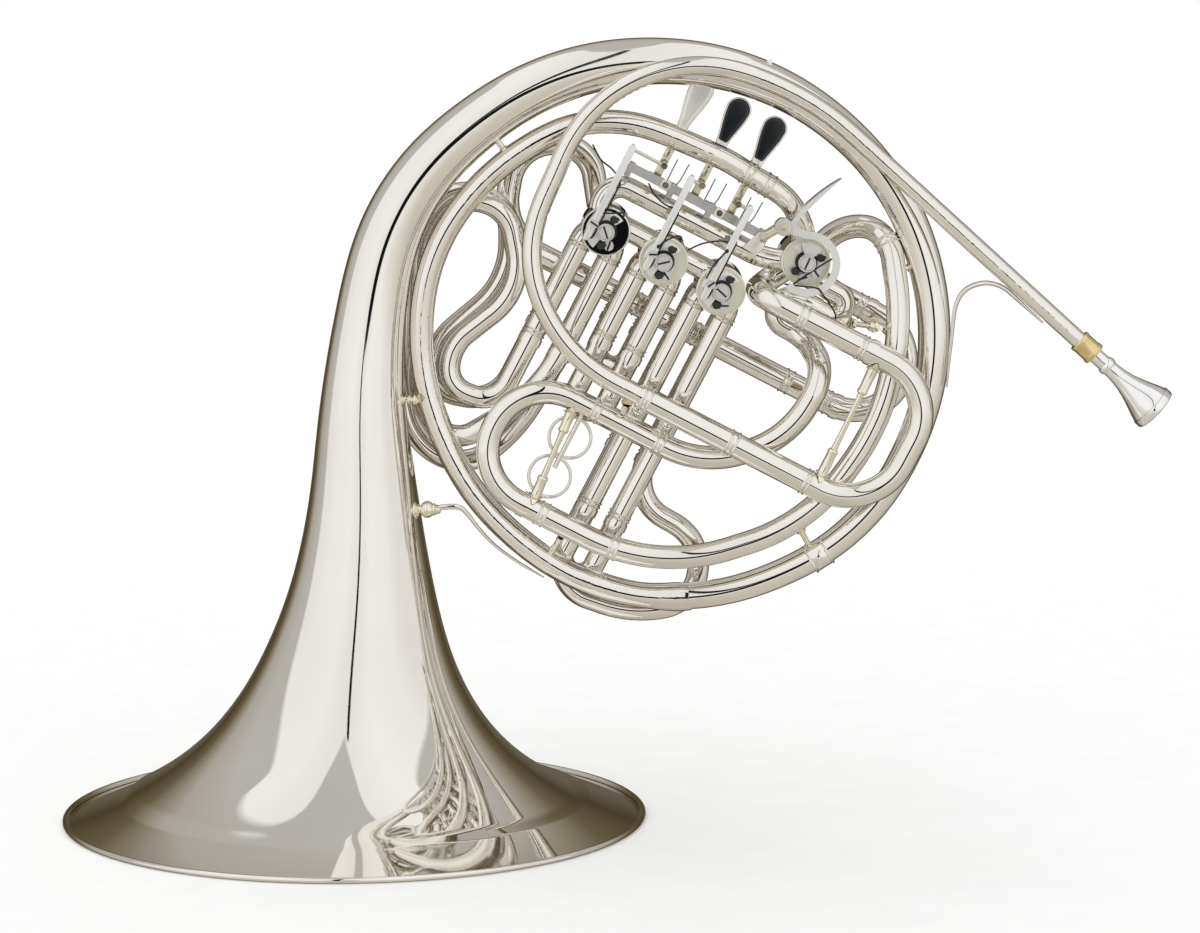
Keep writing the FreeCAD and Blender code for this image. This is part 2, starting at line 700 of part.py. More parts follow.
def paddle_outline():
    """A shank that widens into a teardrop finger plate, the hinge at the foot."""
    top, radius = 89.0 - HINGE_UP, 6.8
    side = [(2.1, 1.5), (2.1, 24.0), (3.0, 27.0), (3.0, 35.0), (radius * 0.97, top - 2)]
    right = [Vector(x, y, 0) for x, y in side]
    left = [Vector(-x, y, 0) for x, y in reversed(side)]
    curves = [Part.LineSegment(a, b) for a, b in zip(right, right[1:])]
    curves.append(Part.Arc(right[-1], Vector(0, top + radius, 0), left[0]))
    curves += [Part.LineSegment(a, b) for a, b in zip(left, left[1:] + right[:1])]
    return curves


def make_lever(index):
    number = index + 1
    along, bar = SHANKS[index], BARS[index]
    blade = plate(f"blade_{number}", paddle_outline(), 1.6, row_place(along, HINGE_UP, HINGE_DEPTH + 0.8))
    barrel = rod(f"hinge_{number}", spot(along - 4.5, HINGE_UP, HINGE_DEPTH),
                 spot(along + 4.5, HINGE_UP, HINGE_DEPTH), 2.5)
    post = rod(f"post_{number}", spot(along, PIN_UP, HINGE_DEPTH), spot(along, PIN_UP, BAR_DEPTH + 1.6), 1.5)
    arm_depth = BAR_DEPTH + 2.6
    arm = rod(f"arm_{number}", spot(along + 1.5, PIN_UP, arm_depth), spot(bar - 1.2, PIN_UP, arm_depth), 0.9)
    solid = union(f"lever_{number}_body", [blade, barrel, post, arm])
    clear = cylinder(f"hinge_bore_{number}", spot(along - 6, HINGE_UP, HINGE_DEPTH), ALONG,
                     "Sizes.hinge_pin / 2 + 0.05", 12)
    keep(cut(f"lever_{number}_bored", solid, clear), f"lever_{number}")
    make_bar(number, bar, index)


def make_bar(number, bar, index):
    """The flat bar that the string is tied to, with a slotted ear for the lever's pin."""
    low = -6.5
    outline = [(-1.75, low), (1.75, low), (1.75, PIN_UP + 2), (-1.75, PIN_UP + 2)]
    strip = plate(f"strip_{number}", outline, 1.2, row_place(bar, 0, BAR_DEPTH + 0.6))
    ear = doc.addObject("Part::Box", f"ear_{number}")
    ear.Length, ear.Width, ear.Height = 1.6, 5.0, 9.6
    ear_place = row_place(bar - 0.8, PIN_UP - 2.5, BAR_DEPTH + 9.2)
    ear.Placement = ear_place
    slot_low = rod(f"slot_a_{number}", spot(bar - 3, PIN_UP, BAR_DEPTH + 2.6),
                   spot(bar + 3, PIN_UP, BAR_DEPTH + 2.6), 1.3)
    slot_high = rod(f"slot_b_{number}", spot(bar - 3, PIN_UP, BAR_DEPTH + 6.8),
                    spot(bar + 3, PIN_UP, BAR_DEPTH + 6.8), 1.3)
    middle = doc.addObject("Part::Box", f"slot_c_{number}")
    middle.Length, middle.Width, middle.Height = 6.0, 2.6, 4.2
    middle.Placement = row_place(bar - 3, PIN_UP - 1.3, BAR_DEPTH + 6.8)
    ear_cut = cut(f"ear_slot_{number}", ear, union(f"ear_gap_{number}", [slot_low, slot_high, middle]))
    screw_low, screw_top = spot(bar, -2.5, BAR_DEPTH - 0.6), spot(bar, -2.5, BAR_DEPTH - 2.2)
    screw = rod(f"tie_screw_{number}", screw_low, screw_top, 2.1)
    keep(union(f"bar_{number}", [strip, ear_cut, screw]), f"link_bar_{number}")
    make_string(number, bar, index)


def make_string(number, bar, index):
    """A string tied near the bar's top, past the hub, and back to the bar's foot."""
    side = PITCH * index - STRING_SIDE - 0.45
    depth = BAR_DEPTH + 0.6 + 4.2
    top, foot = 26.0, -7.5
    line = centreline(
        points_on_row((bar + 1.0, top + 4, BAR_DEPTH + 1.2), (side, top, depth), (side, foot, depth),
                      (bar + 1.0, foot + 3.0, BAR_DEPTH + 1.2)),
        {1: 2.0, 2: 1.6},
    )
    keep(sweep(f"string_line_{number}", line, "0.45"), f"valve_string_{number}")


def make_rack():
    start, end = -5.0, 76.0
    bar = doc.addObject("Part::Box", "rack_bar")
    bar.Length, bar.Width, bar.Height = end - start, 4.8, 1.6
    bar.Placement = row_place(start, 33.6, HINGE_DEPTH - 5.0)
    ears = []
    for i, along in enumerate((-3.5, 21.5, 44.5, 74.5)):
        ear = doc.addObject("Part::Box", f"rack_ear_{i}")
        ear.Length, ear.Width, ear.Height = 3.0, 8.4, 9.0
        ear.Placement = row_place(along - 1.5, 30.4, HINGE_DEPTH + 3.0)
        ears.append(ear)
    solid = union("rack_body", [bar, *ears])
    bore = cylinder("rack_bore", spot(-10, HINGE_UP, HINGE_DEPTH), ALONG, "Sizes.hinge_pin / 2", 90)
    keep(cut("rack", solid, bore), "hinge_rack")
    keep(cylinder("hinge_rod", spot(start - 1, HINGE_UP, HINGE_DEPTH), ALONG, "Sizes.hinge_pin / 2",
                  end - start + 2), "hinge_rod")


def make_springs():
    """One coil round the hinge rod beside each lever."""
    rings = []
    for index, along in enumerate(SHANKS):
        rings.append(collar(f"spring_{index + 1}", spot(along + 7.4, HINGE_UP, HINGE_DEPTH), ALONG,
                            size("hinge_pin"), 4.6, 4.0))
    keep(group("springs", rings), "lever_springs")


# ---------------------------------------------------------------- thumb lever
THUMB_HINGE = (81.5, 46.0)
ARM_DEPTH = -16.0


def thumb_outline():
    """The flat hook round the thumb valve, from the hinge to the tie screw."""
    centre = Vector(VALVES[3][0] - THUMB_HINGE[0], VALVES[3][1] - THUMB_HINGE[1], 0)
    inner, outer = 13.2, 17.2

    def on_arc(radius, angle):
        turn = math.radians(angle)
        return centre + Vector(radius * math.cos(turn), radius * math.sin(turn), 0)

    start, middle, end = 118, 10, -106
    return [
        Part.Arc(on_arc(outer, start), on_arc(outer, middle), on_arc(outer, end)),
        Part.LineSegment(on_arc(outer, end), on_arc(inner, end)),
        Part.Arc(on_arc(inner, end), on_arc(inner, middle), on_arc(inner, start)),
        Part.LineSegment(on_arc(inner, start), Vector(-1.0, -3.0, 0)),
        Part.LineSegment(Vector(-1.0, -3.0, 0), Vector(-1.0, 3.5, 0)),
        Part.LineSegment(Vector(-1.0, 3.5, 0), on_arc(outer, start)),
    ]


def make_thumb_lever():
    hook = plate("thumb_hook", thumb_outline(), 1.4, row_place(*THUMB_HINGE, ARM_DEPTH + 0.7))
    barrel_ends = spot(*THUMB_HINGE, ARM_DEPTH - 1.0), spot(*THUMB_HINGE, ARM_DEPTH + 9.0)
    barrel = rod("thumb_barrel", *barrel_ends, 4.5)
    blade_outline = [
        Part.Arc(Vector(2.2, 3.2, 0), Vector(7.2, 21.0, 0), Vector(15.5, 36.5, 0)),
        Part.Arc(Vector(15.5, 36.5, 0), Vector(9.4, 20.0, 0), Vector(4.0, 1.4, 0)),
        Part.LineSegment(Vector(4.0, 1.4, 0), Vector(2.2, 3.2, 0)),
    ]
    blade = plate("thumb_blade", blade_outline, 13.0, row_place(*THUMB_HINGE, ARM_DEPTH + 12.0))
    turn = math.radians(-98)
    end = spot(VALVES[3][0] + 15.2 * math.cos(turn), VALVES[3][1] + 15.2 * math.sin(turn), ARM_DEPTH - 0.7)
    screw = rod("thumb_tie", end, end - BACK * 1.6, 2.1)
    solid = union("thumb_body", [hook, barrel, blade, screw])
    bore = cylinder("thumb_bore", spot(*THUMB_HINGE, -40), BACK, "1.65", 50)
    keep(cut("thumb_bored", solid, bore), "thumb_lever")


def make_thumb_bracket():
    post = rod("thumb_pivot", spot(*THUMB_HINGE, -19), spot(*THUMB_HINGE, -3.5), 1.6)
    arm = rod("thumb_arm", spot(*THUMB_HINGE, -3.8), spot(76.0, 36.0, 2.0), 2.6)
    leg = rod("thumb_leg", spot(76.0, 36.0, 2.0), spot(76.5, 29.5, 9.5), 2.6)
    knob = disc_knob()
    keep(union("thumb_bracket_body", [post, arm, leg, knob]), "thumb_bracket")


def disc_knob():
    profile = [(0, 0), (4.6, 0), (4.6, 2.4), (3.6, 3.2), (0, 3.2)]
    return turned("thumb_knob", profile, facing(spot(*THUMB_HINGE, -17.4), -BACK))


def make_thumb_string():
    """The thumb valve's string: a chord of the hook, past the hub on its far side."""
    reach_along, reach_up = VALVES[3][0] - THUMB_HINGE[0], VALVES[3][1] - THUMB_HINGE[1]
    reach = math.hypot(reach_along, reach_up)
    outward = Vector(reach_along / reach, reach_up / reach, 0)
    run = Vector(-outward.y, outward.x, 0)
    lift = STRING_SIDE + 0.45
    depth = BAR_DEPTH + 4.8

    def beside_hub(distance, at):
        return spot(VALVES[3][0] + outward.x * lift + run.x * distance,
                    VALVES[3][1] + outward.y * lift + run.y * distance, at)

    line = centreline([beside_hub(-13.0, ARM_DEPTH + 1.0), beside_hub(-9.0, depth),
                       beside_hub(9.0, depth), beside_hub(13.0, ARM_DEPTH + 1.0)])
    keep(sweep("thumb_string_line", line, "0.45"), "valve_string_4")


# ---------------------------------------------------------------- mouthpiece
def make_mouthpiece():
    """A funnel cup on a tapered shank, turned, with its bore."""
    rim = size("mouthpiece_rim") / 2
    outside = [(0, 0), (3.9, 0), (4.0, 24), (4.5, 29.0), (4.4, 31.5), (4.0, 32.5), (5.6, 42), (8.4, 51),
               (10.2, 56), (rim, 60.0), (rim, 62.6), (rim - 1.2, 63.8), (rim - 2.6, 63.8)]
    inside = [(8.7, 62.2), (7.9, 58), (5.6, 47), (2.6, 34), (1.9, 24), (2.4, 0)]
    profile = [(2.4, 0)] + outside[1:] + inside[:-1]
    start, direction = station(lead_wire, 0)
    away = direction * -1
    body = turned("mouthpiece_turned", profile, facing(start - away * 12.0, away))
    keep(body, "mouthpiece")


# ---------------------------------------------------------------- braces
def strut(name, low, high):
    """A long brace: a thin rod between two thicker sockets."""
    direction = (high - low).normalize()
    length = (high - low).Length
    thin = rod(name + "_rod", low, high, 1.7)
    sockets = [
        cylinder(name + "_foot_a", low, direction, "2.9", length * 0.22),
        cylinder(name + "_foot_b", high - direction * (length * 0.22), direction, "2.9", length * 0.22),
    ]
    return union(name, [thin, *sockets])


def bar_brace(name, start, end):
    """A short turned brace: a rod with a bead and a flange at each end."""
    direction = (end - start).normalize()
    length = (end - start).Length
    shaft = rod(name + "_rod", start, end, 1.3)
    flange_a = cylinder(name + "_flange_a", start, direction, "3.4", 1.2)
    flange_b = cylinder(name + "_flange_b", end - direction * 1.2, direction, "3.4", 1.2)
    bead = cylinder(name + "_bead", start + direction * (length / 2 - 1), direction, "2.2", 2)
    return union(name, [shaft, flange_a, flange_b, bead])


def wire_brace(name, points, radius):
    return sweep(name, centreline(points), str(radius))


def make_braces():
    s_line = [Vector(x, y, z) for x, y, z in
              ((317, -7, 232), (321, -10, 279), (330, -15, 295), (345, -20, 290), (356, -22, 278), (367, -22.5, 268))]
    keep(wire_brace("s_brace_line", s_line, 2.0), "s_brace")
    bell_line = [Vector(x, y, z) for x, y, z in
                 ((33, -4, 168), (57, -4, 172), (66, -4, 157), (79, -4, 143), (102, -4, 129))]
    keep(wire_brace("bell_brace_line", bell_line, 1.8), "bell_brace")
    pairs = [
        (Vector(74, 0, 370), Vector(84, 0, 357)),
        (Vector(23, -2, 227), Vector(34, -2, 226)),
        (Vector(300, 0, 297), Vector(290, -3, 295)),
        (Vector(246, 0, 145), Vector(239, -5, 158)),
        (Vector(217, -14, 398), Vector(220, -4, 402)),
        (spot(52, F_HIGH + 6.2, SLIDE - 3.6), spot(51, MAIN_LOW - 6.4, LEAD + 3)),
        (spot(54, F_LOW - 7.0, SLIDE + 1.5), spot(53, -167, 0)),
        (spot(136.0, MAIN_HIGH + 8.2, LEAD + 5), spot(150, 21, -6)),
    ]
    braces = [bar_brace(f"brace_{i + 1}", start, end) for i, (start, end) in enumerate(pairs)]
    keep(group("braces", braces), "body_braces")


def make_ferrules():
    """The rings that cover the fixed joints."""
    main, f_bore = size("main_tube"), size("f_tube")
    change, branch = size("change_tube"), size("branch_small")
    rings = [
        ring_on("joint_a", low_sleeve_wire, 4, main), ring_on("joint_b", low_sleeve_wire, 55, main),
        ring_on("joint_c", high_sleeve_wire, 38, main),
        ring_on("joint_d", f_arc_wire, 3, f_bore), ring_on("joint_e", f_arc_wire, 41, f_bore),
        ring_on("joint_f", f_ring_wire, 3, f_bore), ring_on("joint_g", f_ring_wire, 45, f_bore),
        ring_on("joint_h", f_ring_wire, f_ring_wire.Length - 58, f_bore),
        ring_on("joint_i", change_wire, 190, change), ring_on("joint_j", change_wire, 222, change),
        ring_on("joint_k", change_wire, 280, change),
        ring_on("joint_l", change_wire, change_wire.Length - 4, change),
        ring_on("joint_m", change_high_wire, 3, change),
        ring_on("joint_n", horn_wire, TAIL_END + 5, size("branch_large"), 5.0, 1.6),
        ring_on("joint_o", horn_wire, TAIL_END - 7, size("branch_large") + 0.4, 5.0, 1.6),
        ring_on("joint_p", horn_wire, horn_wire.Length - 45, branch + 0.2),
        ring_on("joint_q", horn_wire, horn_wire.Length - 57, branch + 0.3),
    ]
    keep(group("ferrules", rings), "joint_ferrules")


# ---------------------------------------------------------------- the whole horn
make_bell()
make_first_branch()
make_leadpipe()
make_main_slide()
make_f_side()
make_change_run()
make_valve_slides()
make_links()
for valve_index in range(4):
    make_valve(valve_index)
make_valve_faces()
for lever_index in range(3):
    make_lever(lever_index)
make_rack()
make_springs()
make_thumb_lever()
make_thumb_bracket()
make_thumb_string()
make_mouthpiece()
make_braces()
make_ferrules()
doc.recompute()

faults = [item.Name for item in doc.Objects if {"Invalid", "Error"} & set(item.State)]
if faults:
    raise SystemExit("failed objects: " + ", ".join(faults))
for item in PARTS:
    if item.Shape.isNull() or not item.Shape.isValid():
        raise SystemExit("bad shape: " + item.Label)
for item in PARTS:
    item.Shape.exportStep(f"parts/{item.Label}.step")
print(len(PARTS), "sub-parts written")
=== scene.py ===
"""The french horn's looks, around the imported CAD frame. Metres; the frame's own axes."""
import math

import bmesh
import bpy
import numpy as np
from mathutils import Matrix, Vector
from mathutils.bvhtree import BVHTree


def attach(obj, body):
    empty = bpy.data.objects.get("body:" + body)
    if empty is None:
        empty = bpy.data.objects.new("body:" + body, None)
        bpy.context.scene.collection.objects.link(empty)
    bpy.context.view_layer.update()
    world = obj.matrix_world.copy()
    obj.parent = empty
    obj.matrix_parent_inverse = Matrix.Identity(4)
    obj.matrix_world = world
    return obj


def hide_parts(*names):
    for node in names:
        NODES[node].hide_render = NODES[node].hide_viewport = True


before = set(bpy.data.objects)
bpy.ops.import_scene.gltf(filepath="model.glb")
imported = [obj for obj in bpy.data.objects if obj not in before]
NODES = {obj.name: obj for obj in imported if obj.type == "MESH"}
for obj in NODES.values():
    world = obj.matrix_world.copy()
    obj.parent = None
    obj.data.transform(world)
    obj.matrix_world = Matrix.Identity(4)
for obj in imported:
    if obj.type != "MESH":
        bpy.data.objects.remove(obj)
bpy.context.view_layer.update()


# -------- camera
SENSOR_WIDTH, LENS = 36.0, 113.07
CAMERA_PLACE = (0.1332, -2.0, 0.4511)
LOOK_DOWN, ROLL = 7.439, 0.1
NEAR, FAR = 0.05, 50


def make_camera():
    """A long lens two metres in front of the horn, looking slightly down."""
    data = bpy.data.cameras.new("camera")
    data.sensor_width, data.lens = SENSOR_WIDTH, LENS
    camera = bpy.data.objects.new("camera", data)
    camera.location = CAMERA_PLACE
    camera.rotation_euler = (math.radians(90 - LOOK_DOWN), math.radians(ROLL), 0)
    data.clip_start, data.clip_end = NEAR, FAR
    bpy.context.scene.collection.objects.link(camera)
    bpy.context.scene.camera = camera


make_camera()


# -------- node helpers
class Nodes:
    """A small wrapper for making shader nodes and joining them."""

    def __init__(self, tree):
        self.tree = tree
        tree.nodes.clear()

    def add(self, kind, links=None, **values):
        """A new node; links gives each input a socket to join or a value."""
        node = self.tree.nodes.new(kind)
        for key, value in values.items():
            setattr(node, key, value)
        for key, value in (links or {}).items():
            socket = node.inputs[key]
            if isinstance(value, bpy.types.NodeSocket):
                self.tree.links.new(value, socket)
            else:
                socket.default_value = value
        return node


def ramp(nodes, factor, stops):
    """A colour ramp through stops of position and colour."""
    node = nodes.add("ShaderNodeValToRGB", {"Fac": factor})
    elements = node.color_ramp.elements
    while len(elements) > 1:
        elements.remove(elements[0])
    elements[0].position, elements[0].color = stops[0][0], (*stops[0][1], 1)
    for position, colour in stops[1:]:
        elements.new(position).color = (*colour, 1)
    return node.outputs["Color"]


def material(name, build):
    """A material with one principled shader that build fills in."""
    made = bpy.data.materials.new(name)
    made.use_nodes = True
    nodes = Nodes(made.node_tree)
    shader = nodes.add("ShaderNodeBsdfPrincipled")
    build(nodes, shader)
    nodes.add("ShaderNodeOutputMaterial", {"Surface": shader.outputs[0]})
    return made


def polished(name, light, dark, smooth, rough, scratch=0.02):
    """Polished plate: slow tone changes, finger smudges in the roughness, fine buffing lines."""
    def build(nodes, shader):
        place = nodes.add("ShaderNodeTexCoord").outputs["Object"]
        clouds = nodes.add("ShaderNodeTexNoise", {"Vector": place, "Scale": 14.0, "Detail": 4.0})
        tone = ramp(nodes, clouds.outputs["Fac"], [(0.35, dark), (0.62, light)])
        smudge = nodes.add("ShaderNodeTexNoise", {"Vector": place, "Scale": 45.0, "Detail": 6.0})
        sheen = nodes.add("ShaderNodeMapRange", {"Value": smudge.outputs["Fac"], "From Min": 0.4,
                                                 "From Max": 0.75, "To Min": smooth, "To Max": rough})
        lines = nodes.add("ShaderNodeTexNoise", {"Vector": place, "Scale": 900.0, "Detail": 2.0})
        bump = nodes.add("ShaderNodeBump", {"Height": lines.outputs["Fac"], "Strength": scratch,
                                            "Distance": 0.0001})
        shader.inputs["Metallic"].default_value = 1.0
        nodes.tree.links.new(tone, shader.inputs["Base Color"])
        nodes.tree.links.new(sheen.outputs[0], shader.inputs["Roughness"])
        nodes.tree.links.new(bump.outputs[0], shader.inputs["Normal"])
    return material(name, build)


def plain(name, light, dark, rough, scale, depth):
    """An unplated surface: one grain drives its tone, its roughness and a slight relief."""
    def build(nodes, shader):
        place = nodes.add("ShaderNodeTexCoord").outputs["Object"]
        grain = nodes.add("ShaderNodeTexNoise", {"Vector": place, "Scale": scale, "Detail": 5.0})
        tone = ramp(nodes, grain.outputs["Fac"], [(0.3, dark), (0.7, light)])
        bump = nodes.add("ShaderNodeBump", {"Height": grain.outputs["Fac"], "Strength": depth,
                                            "Distance": 0.0003})
        shader.inputs["Metallic"].default_value = 0.0
        nodes.tree.links.new(tone, shader.inputs["Base Color"])
        worn = nodes.add("ShaderNodeMapRange", {"Value": grain.outputs["Fac"], "To Min": rough * 0.8,
                                                "To Max": rough * 1.3})
        nodes.tree.links.new(worn.outputs[0], shader.inputs["Roughness"])
        nodes.tree.links.new(bump.outputs[0], shader.inputs["Normal"])
    return material(name, build)


SILVER = polished("polished_plate", (0.93, 0.905, 0.865), (0.90, 0.872, 0.825), 0.02, 0.06)
WHITE_SILVER = polished("white_silver", (0.97, 0.97, 0.975), (0.94, 0.94, 0.95), 0.06, 0.12)
PALE_GOLD = polished("pale_gold", (0.93, 0.885, 0.76), (0.87, 0.82, 0.67), 0.05, 0.11, 0.005)
GOLD = polished("receiver_brass", (0.86, 0.72, 0.36), (0.76, 0.60, 0.28), 0.08, 0.18)
SATIN = polished("satin_steel", (0.78, 0.77, 0.76), (0.70, 0.69, 0.68), 0.26, 0.34, 0.002)
CREAM = polished("cream_face", (0.95, 0.925, 0.80), (0.90, 0.87, 0.73), 0.30, 0.40, 0.01)
# dark rubber for the stop bumpers; the same material is painted shade in the shaft gaps and screw slots
RUBBER_AND_SHADE = plain("bumper_rubber_and_painted_shade", (0.025, 0.025, 0.026), (0.012, 0.012, 0.012), 0.45, 500.0, 0.2)
MIRROR = polished("mirror_plate", (0.80, 0.80, 0.80), (0.74, 0.74, 0.75), 0.02, 0.10)
SATIN_BRIGHT = polished("satin_bright", (0.95, 0.94, 0.93), (0.86, 0.85, 0.83), 0.34, 0.46, 0.02)
BAR_SILVER = polished("bar_silver", (0.97, 0.965, 0.95), (0.92, 0.915, 0.90), 0.36, 0.44, 0.001)
SCREW = polished("screw_steel", (0.90, 0.89, 0.88), (0.80, 0.79, 0.78), 0.32, 0.40, 0.001)
STEEL_DARK = polished("spring_steel", (0.30, 0.30, 0.31), (0.20, 0.20, 0.21), 0.25, 0.40)
LEVER_GOLD = polished("lever_gold", (0.86, 0.82, 0.68), (0.74, 0.69, 0.52), 0.14, 0.26)
PADDLE = polished("paddle_plate", (0.96, 0.945, 0.885), (0.92, 0.90, 0.83), 0.26, 0.36, 0.002)
PAD_BLACK = plain("pad_black", (0.016, 0.022, 0.026), (0.010, 0.014, 0.017), 0.16, 60.0, 0.02)
CORD = plain("braided_cord", (0.035, 0.035, 0.04), (0.01, 0.01, 0.012), 0.8, 2500.0, 0.8)

LOOKS = {
    "joint_ferrules": SILVER, "body_braces": PALE_GOLD, "s_brace": SILVER, "bell_brace": SILVER,
    "receiver_ring": GOLD, "mouthpiece": WHITE_SILVER, "thumb_bracket": PALE_GOLD,
    "main_slide_strut": PALE_GOLD, "f_slide_strut": PALE_GOLD, "bearing_plates": CREAM,
    "stop_bumpers": RUBBER_AND_SHADE, "hinge_rack": SATIN, "hinge_rod": SATIN, "lever_springs": SATIN,
    "thumb_lever": BAR_SILVER,
}
for number in range(1, 5):
    LOOKS[f"rotor_{number}"] = SATIN_BRIGHT
    LOOKS[f"valve_string_{number}"] = CORD
CAD_SHARP = math.radians(28)
for name, node in NODES.items():
    mesh = node.data
    mesh.materials.clear()
    mesh.materials.append(LOOKS.get(name, SILVER))
    mesh.shade_smooth()
    mesh.set_sharp_from_angle(angle=CAD_SHARP)


# -------- mesh helpers
TILT = math.radians(27.5)
ALONG = Vector((math.cos(TILT), 0, -math.sin(TILT)))
UP = Vector((math.sin(TILT), 0, math.cos(TILT)))
FRONT = Vector((0, -1, 0))
VALVES = [(0.0, 0.0), (34.5, 0.0), (69.0, 0.0), (102.0, 34.5)]
ORIGIN_X, ORIGIN_Z = 0.136, 0.316


def spot(along, up, depth):
    """A place in the valves' own slanted frame, millimetres to metres."""
    return Vector((ORIGIN_X, depth / 1000, ORIGIN_Z)) + (ALONG * along + UP * up) / 1000


def arc(radius, start, end, count=16, centre=(0.0, 0.0)):
    """Outline points on an arc; angles in degrees."""
    turns = [math.radians(start + (end - start) * k / count) for k in range(count + 1)]
    return [(centre[0] + radius * math.cos(t), centre[1] + radius * math.sin(t)) for t in turns]


# every screw slot made so far, by the body that carries the screw; each later gets a painted shade box on
# its floor
SLOTS = {}


class Shape:
    """One mesh piece built from plates, turned parts and bent tubes."""

    def __init__(self):
        self.bm = bmesh.new()

    def add_rings(self, rings):
        """A closed body through rings of equal size."""
        verts, faces = rings_mesh(rings)
        made = [self.bm.verts.new(v) for v in verts]
        for face in faces:
            self.bm.faces.new([made[n] for n in face])

    def slab(self, outline, front, back, centre=(0.0, 0.0), bevel=0.2):
        """A flat plate in the valves' frame with softened front edges; y runs from front to back."""
        points = [spot(centre[0] + a, centre[1] + u, front) for a, u in outline]
        face = self.bm.faces.new([self.bm.verts.new(p) for p in points])
        made = bmesh.ops.extrude_face_region(self.bm, geom=[face], use_keep_orig=True)
        moved = [g for g in made["geom"] if isinstance(g, bmesh.types.BMVert)]
        bmesh.ops.translate(self.bm, verts=moved, vec=(0, (back - front) / 1000, 0))
        if bevel:
            bmesh.ops.bevel(self.bm, geom=list(face.edges), offset=bevel / 1000, segments=2,
                            profile=0.6, affect="EDGES", clamp_overlap=True)

    def lathe(self, start, axis, profile, segments=40):
        """A turned part: the profile gives distance along the axis and radius, in millimetres."""
        axis = axis.normalized()
        side = axis.orthogonal().normalized()
        other = axis.cross(side)
        rings = []
        for distance, radius in profile:
            centre = start + axis * (distance / 1000)
            if radius <= 0:
                rings.append([self.bm.verts.new(centre)])
                continue
            turns = [2 * math.pi * k / segments for k in range(segments)]
            places = [centre + (side * math.cos(t) + other * math.sin(t)) * radius / 1000 for t in turns]
            rings.append([self.bm.verts.new(place) for place in places])
        for low, high in zip(rings, rings[1:]):
            for k in range(segments):
                n = (k + 1) % segments
                if len(low) == 1:
                    self.bm.faces.new((low[0], high[n], high[k]))
                elif len(high) == 1:
                    self.bm.faces.new((low[k], low[n], high[0]))
                else:
                    self.bm.faces.new((low[k], low[n], high[n], high[k]))

    def tube(self, points, radius, segments=12):
        """A rod bent along points in metres; radius in millimetres."""
        before, rings = None, []
        for i, point in enumerate(points):
            ahead = (points[min(i + 1, len(points) - 1)] - points[max(i - 1, 0)]).normalized()
            if before is None:
                side = ahead.orthogonal().normalized()
            else:
                side = (before - ahead * before.dot(ahead)).normalized()
            before, other = side, ahead.cross(side)
            turns = [2 * math.pi * k / segments for k in range(segments)]
            places = [point + (side * math.cos(t) + other * math.sin(t)) * radius / 1000 for t in turns]
            rings.append([self.bm.verts.new(place) for place in places])
        for low, high in zip(rings, rings[1:]):
            for k in range(segments):
                n = (k + 1) % segments
                self.bm.faces.new((low[k], low[n], high[n], high[k]))
        self.bm.faces.new(list(reversed(rings[0])))
        self.bm.faces.new(rings[-1])

    def screw(self, centre, axis, radius, height, turn, width=0.9, body="horn"):
        """A slotted screw head: a full disc with two half discs on it, and a slot between them."""
        disc, half_disc, taper, steps = height * 0.55, height * 0.45, 0.93, 16
        axis = axis.normalized()
        self.lathe(centre, axis, [(0, 0), (0, radius), (disc, radius), (disc, 0)], 32)
        side = Matrix.Rotation(math.radians(turn), 3, axis) @ axis.orthogonal().normalized()
        other = axis.cross(side)
        base, rise = centre + axis * (disc / 1000), axis * (half_disc / 1000)
        SLOTS.setdefault(body, []).append((base, axis, side, radius, width, height))
        for sign in (1, -1):
            low_angle = math.asin(width / 2 / radius)
            turns = [low_angle + (math.pi - 2 * low_angle) * k / steps for k in range(steps + 1)]
            outer = [base + (side * math.cos(t) + other * math.sin(t) * sign) * radius / 1000 for t in turns]
            verts = [self.bm.verts.new(p) for p in outer]
            middle = sum(outer, Vector()) / len(outer)
            inner = [self.bm.verts.new(middle + (p - middle) * taper + rise) for p in outer]
            for k in range(len(outer)):
                n = (k + 1) % len(outer)
                self.bm.faces.new((verts[k], verts[n], inner[n], inner[k]))
            self.bm.faces.new(inner)

    def finish(self, name, look, body, smooth=35.0):
        """The shape as one piece; edges sharper than smooth, in degrees, stay sharp."""
        bmesh.ops.recalc_face_normals(self.bm, faces=self.bm.faces)
        mesh = bpy.data.meshes.new(name)
        self.bm.to_mesh(mesh)
        self.bm.free()
        return place_piece(mesh, name, look, body, smooth)


def curved(points, count=8):
    """A smooth line through points in metres."""
    ends = [points[0] * 2 - points[1], *points, points[-1] * 2 - points[-2]]
    result = []
    for a, b, c, d in zip(ends, ends[1:], ends[2:], ends[3:]):
        for k in range(count):
            t = k / count
            result.append(0.5 * ((2 * b) + (c - a) * t + (2 * a - 5 * b + 4 * c - d) * t ** 2
                                 + (3 * b - a - 3 * c + d) * t ** 3))
    return [*result, points[-1]]


def place_piece(mesh, name, look, body, smooth):
    """Put a finished mesh in the scene as one piece that rides on a body."""
    mesh.materials.append(look)
    mesh.shade_smooth()
    mesh.set_sharp_from_angle(angle=math.radians(smooth))
    piece = bpy.data.objects.new(name, mesh)
    bpy.context.scene.collection.objects.link(piece)
    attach(piece, body)
    return piece


def add_piece(name, verts, faces, look, body, smooth):
    """A piece made straight from its points and faces."""
    mesh = bpy.data.meshes.new(name)
    mesh.from_pydata([tuple(v) for v in verts], [], faces)
    mesh.update()
    return place_piece(mesh, name, look, body, smooth)


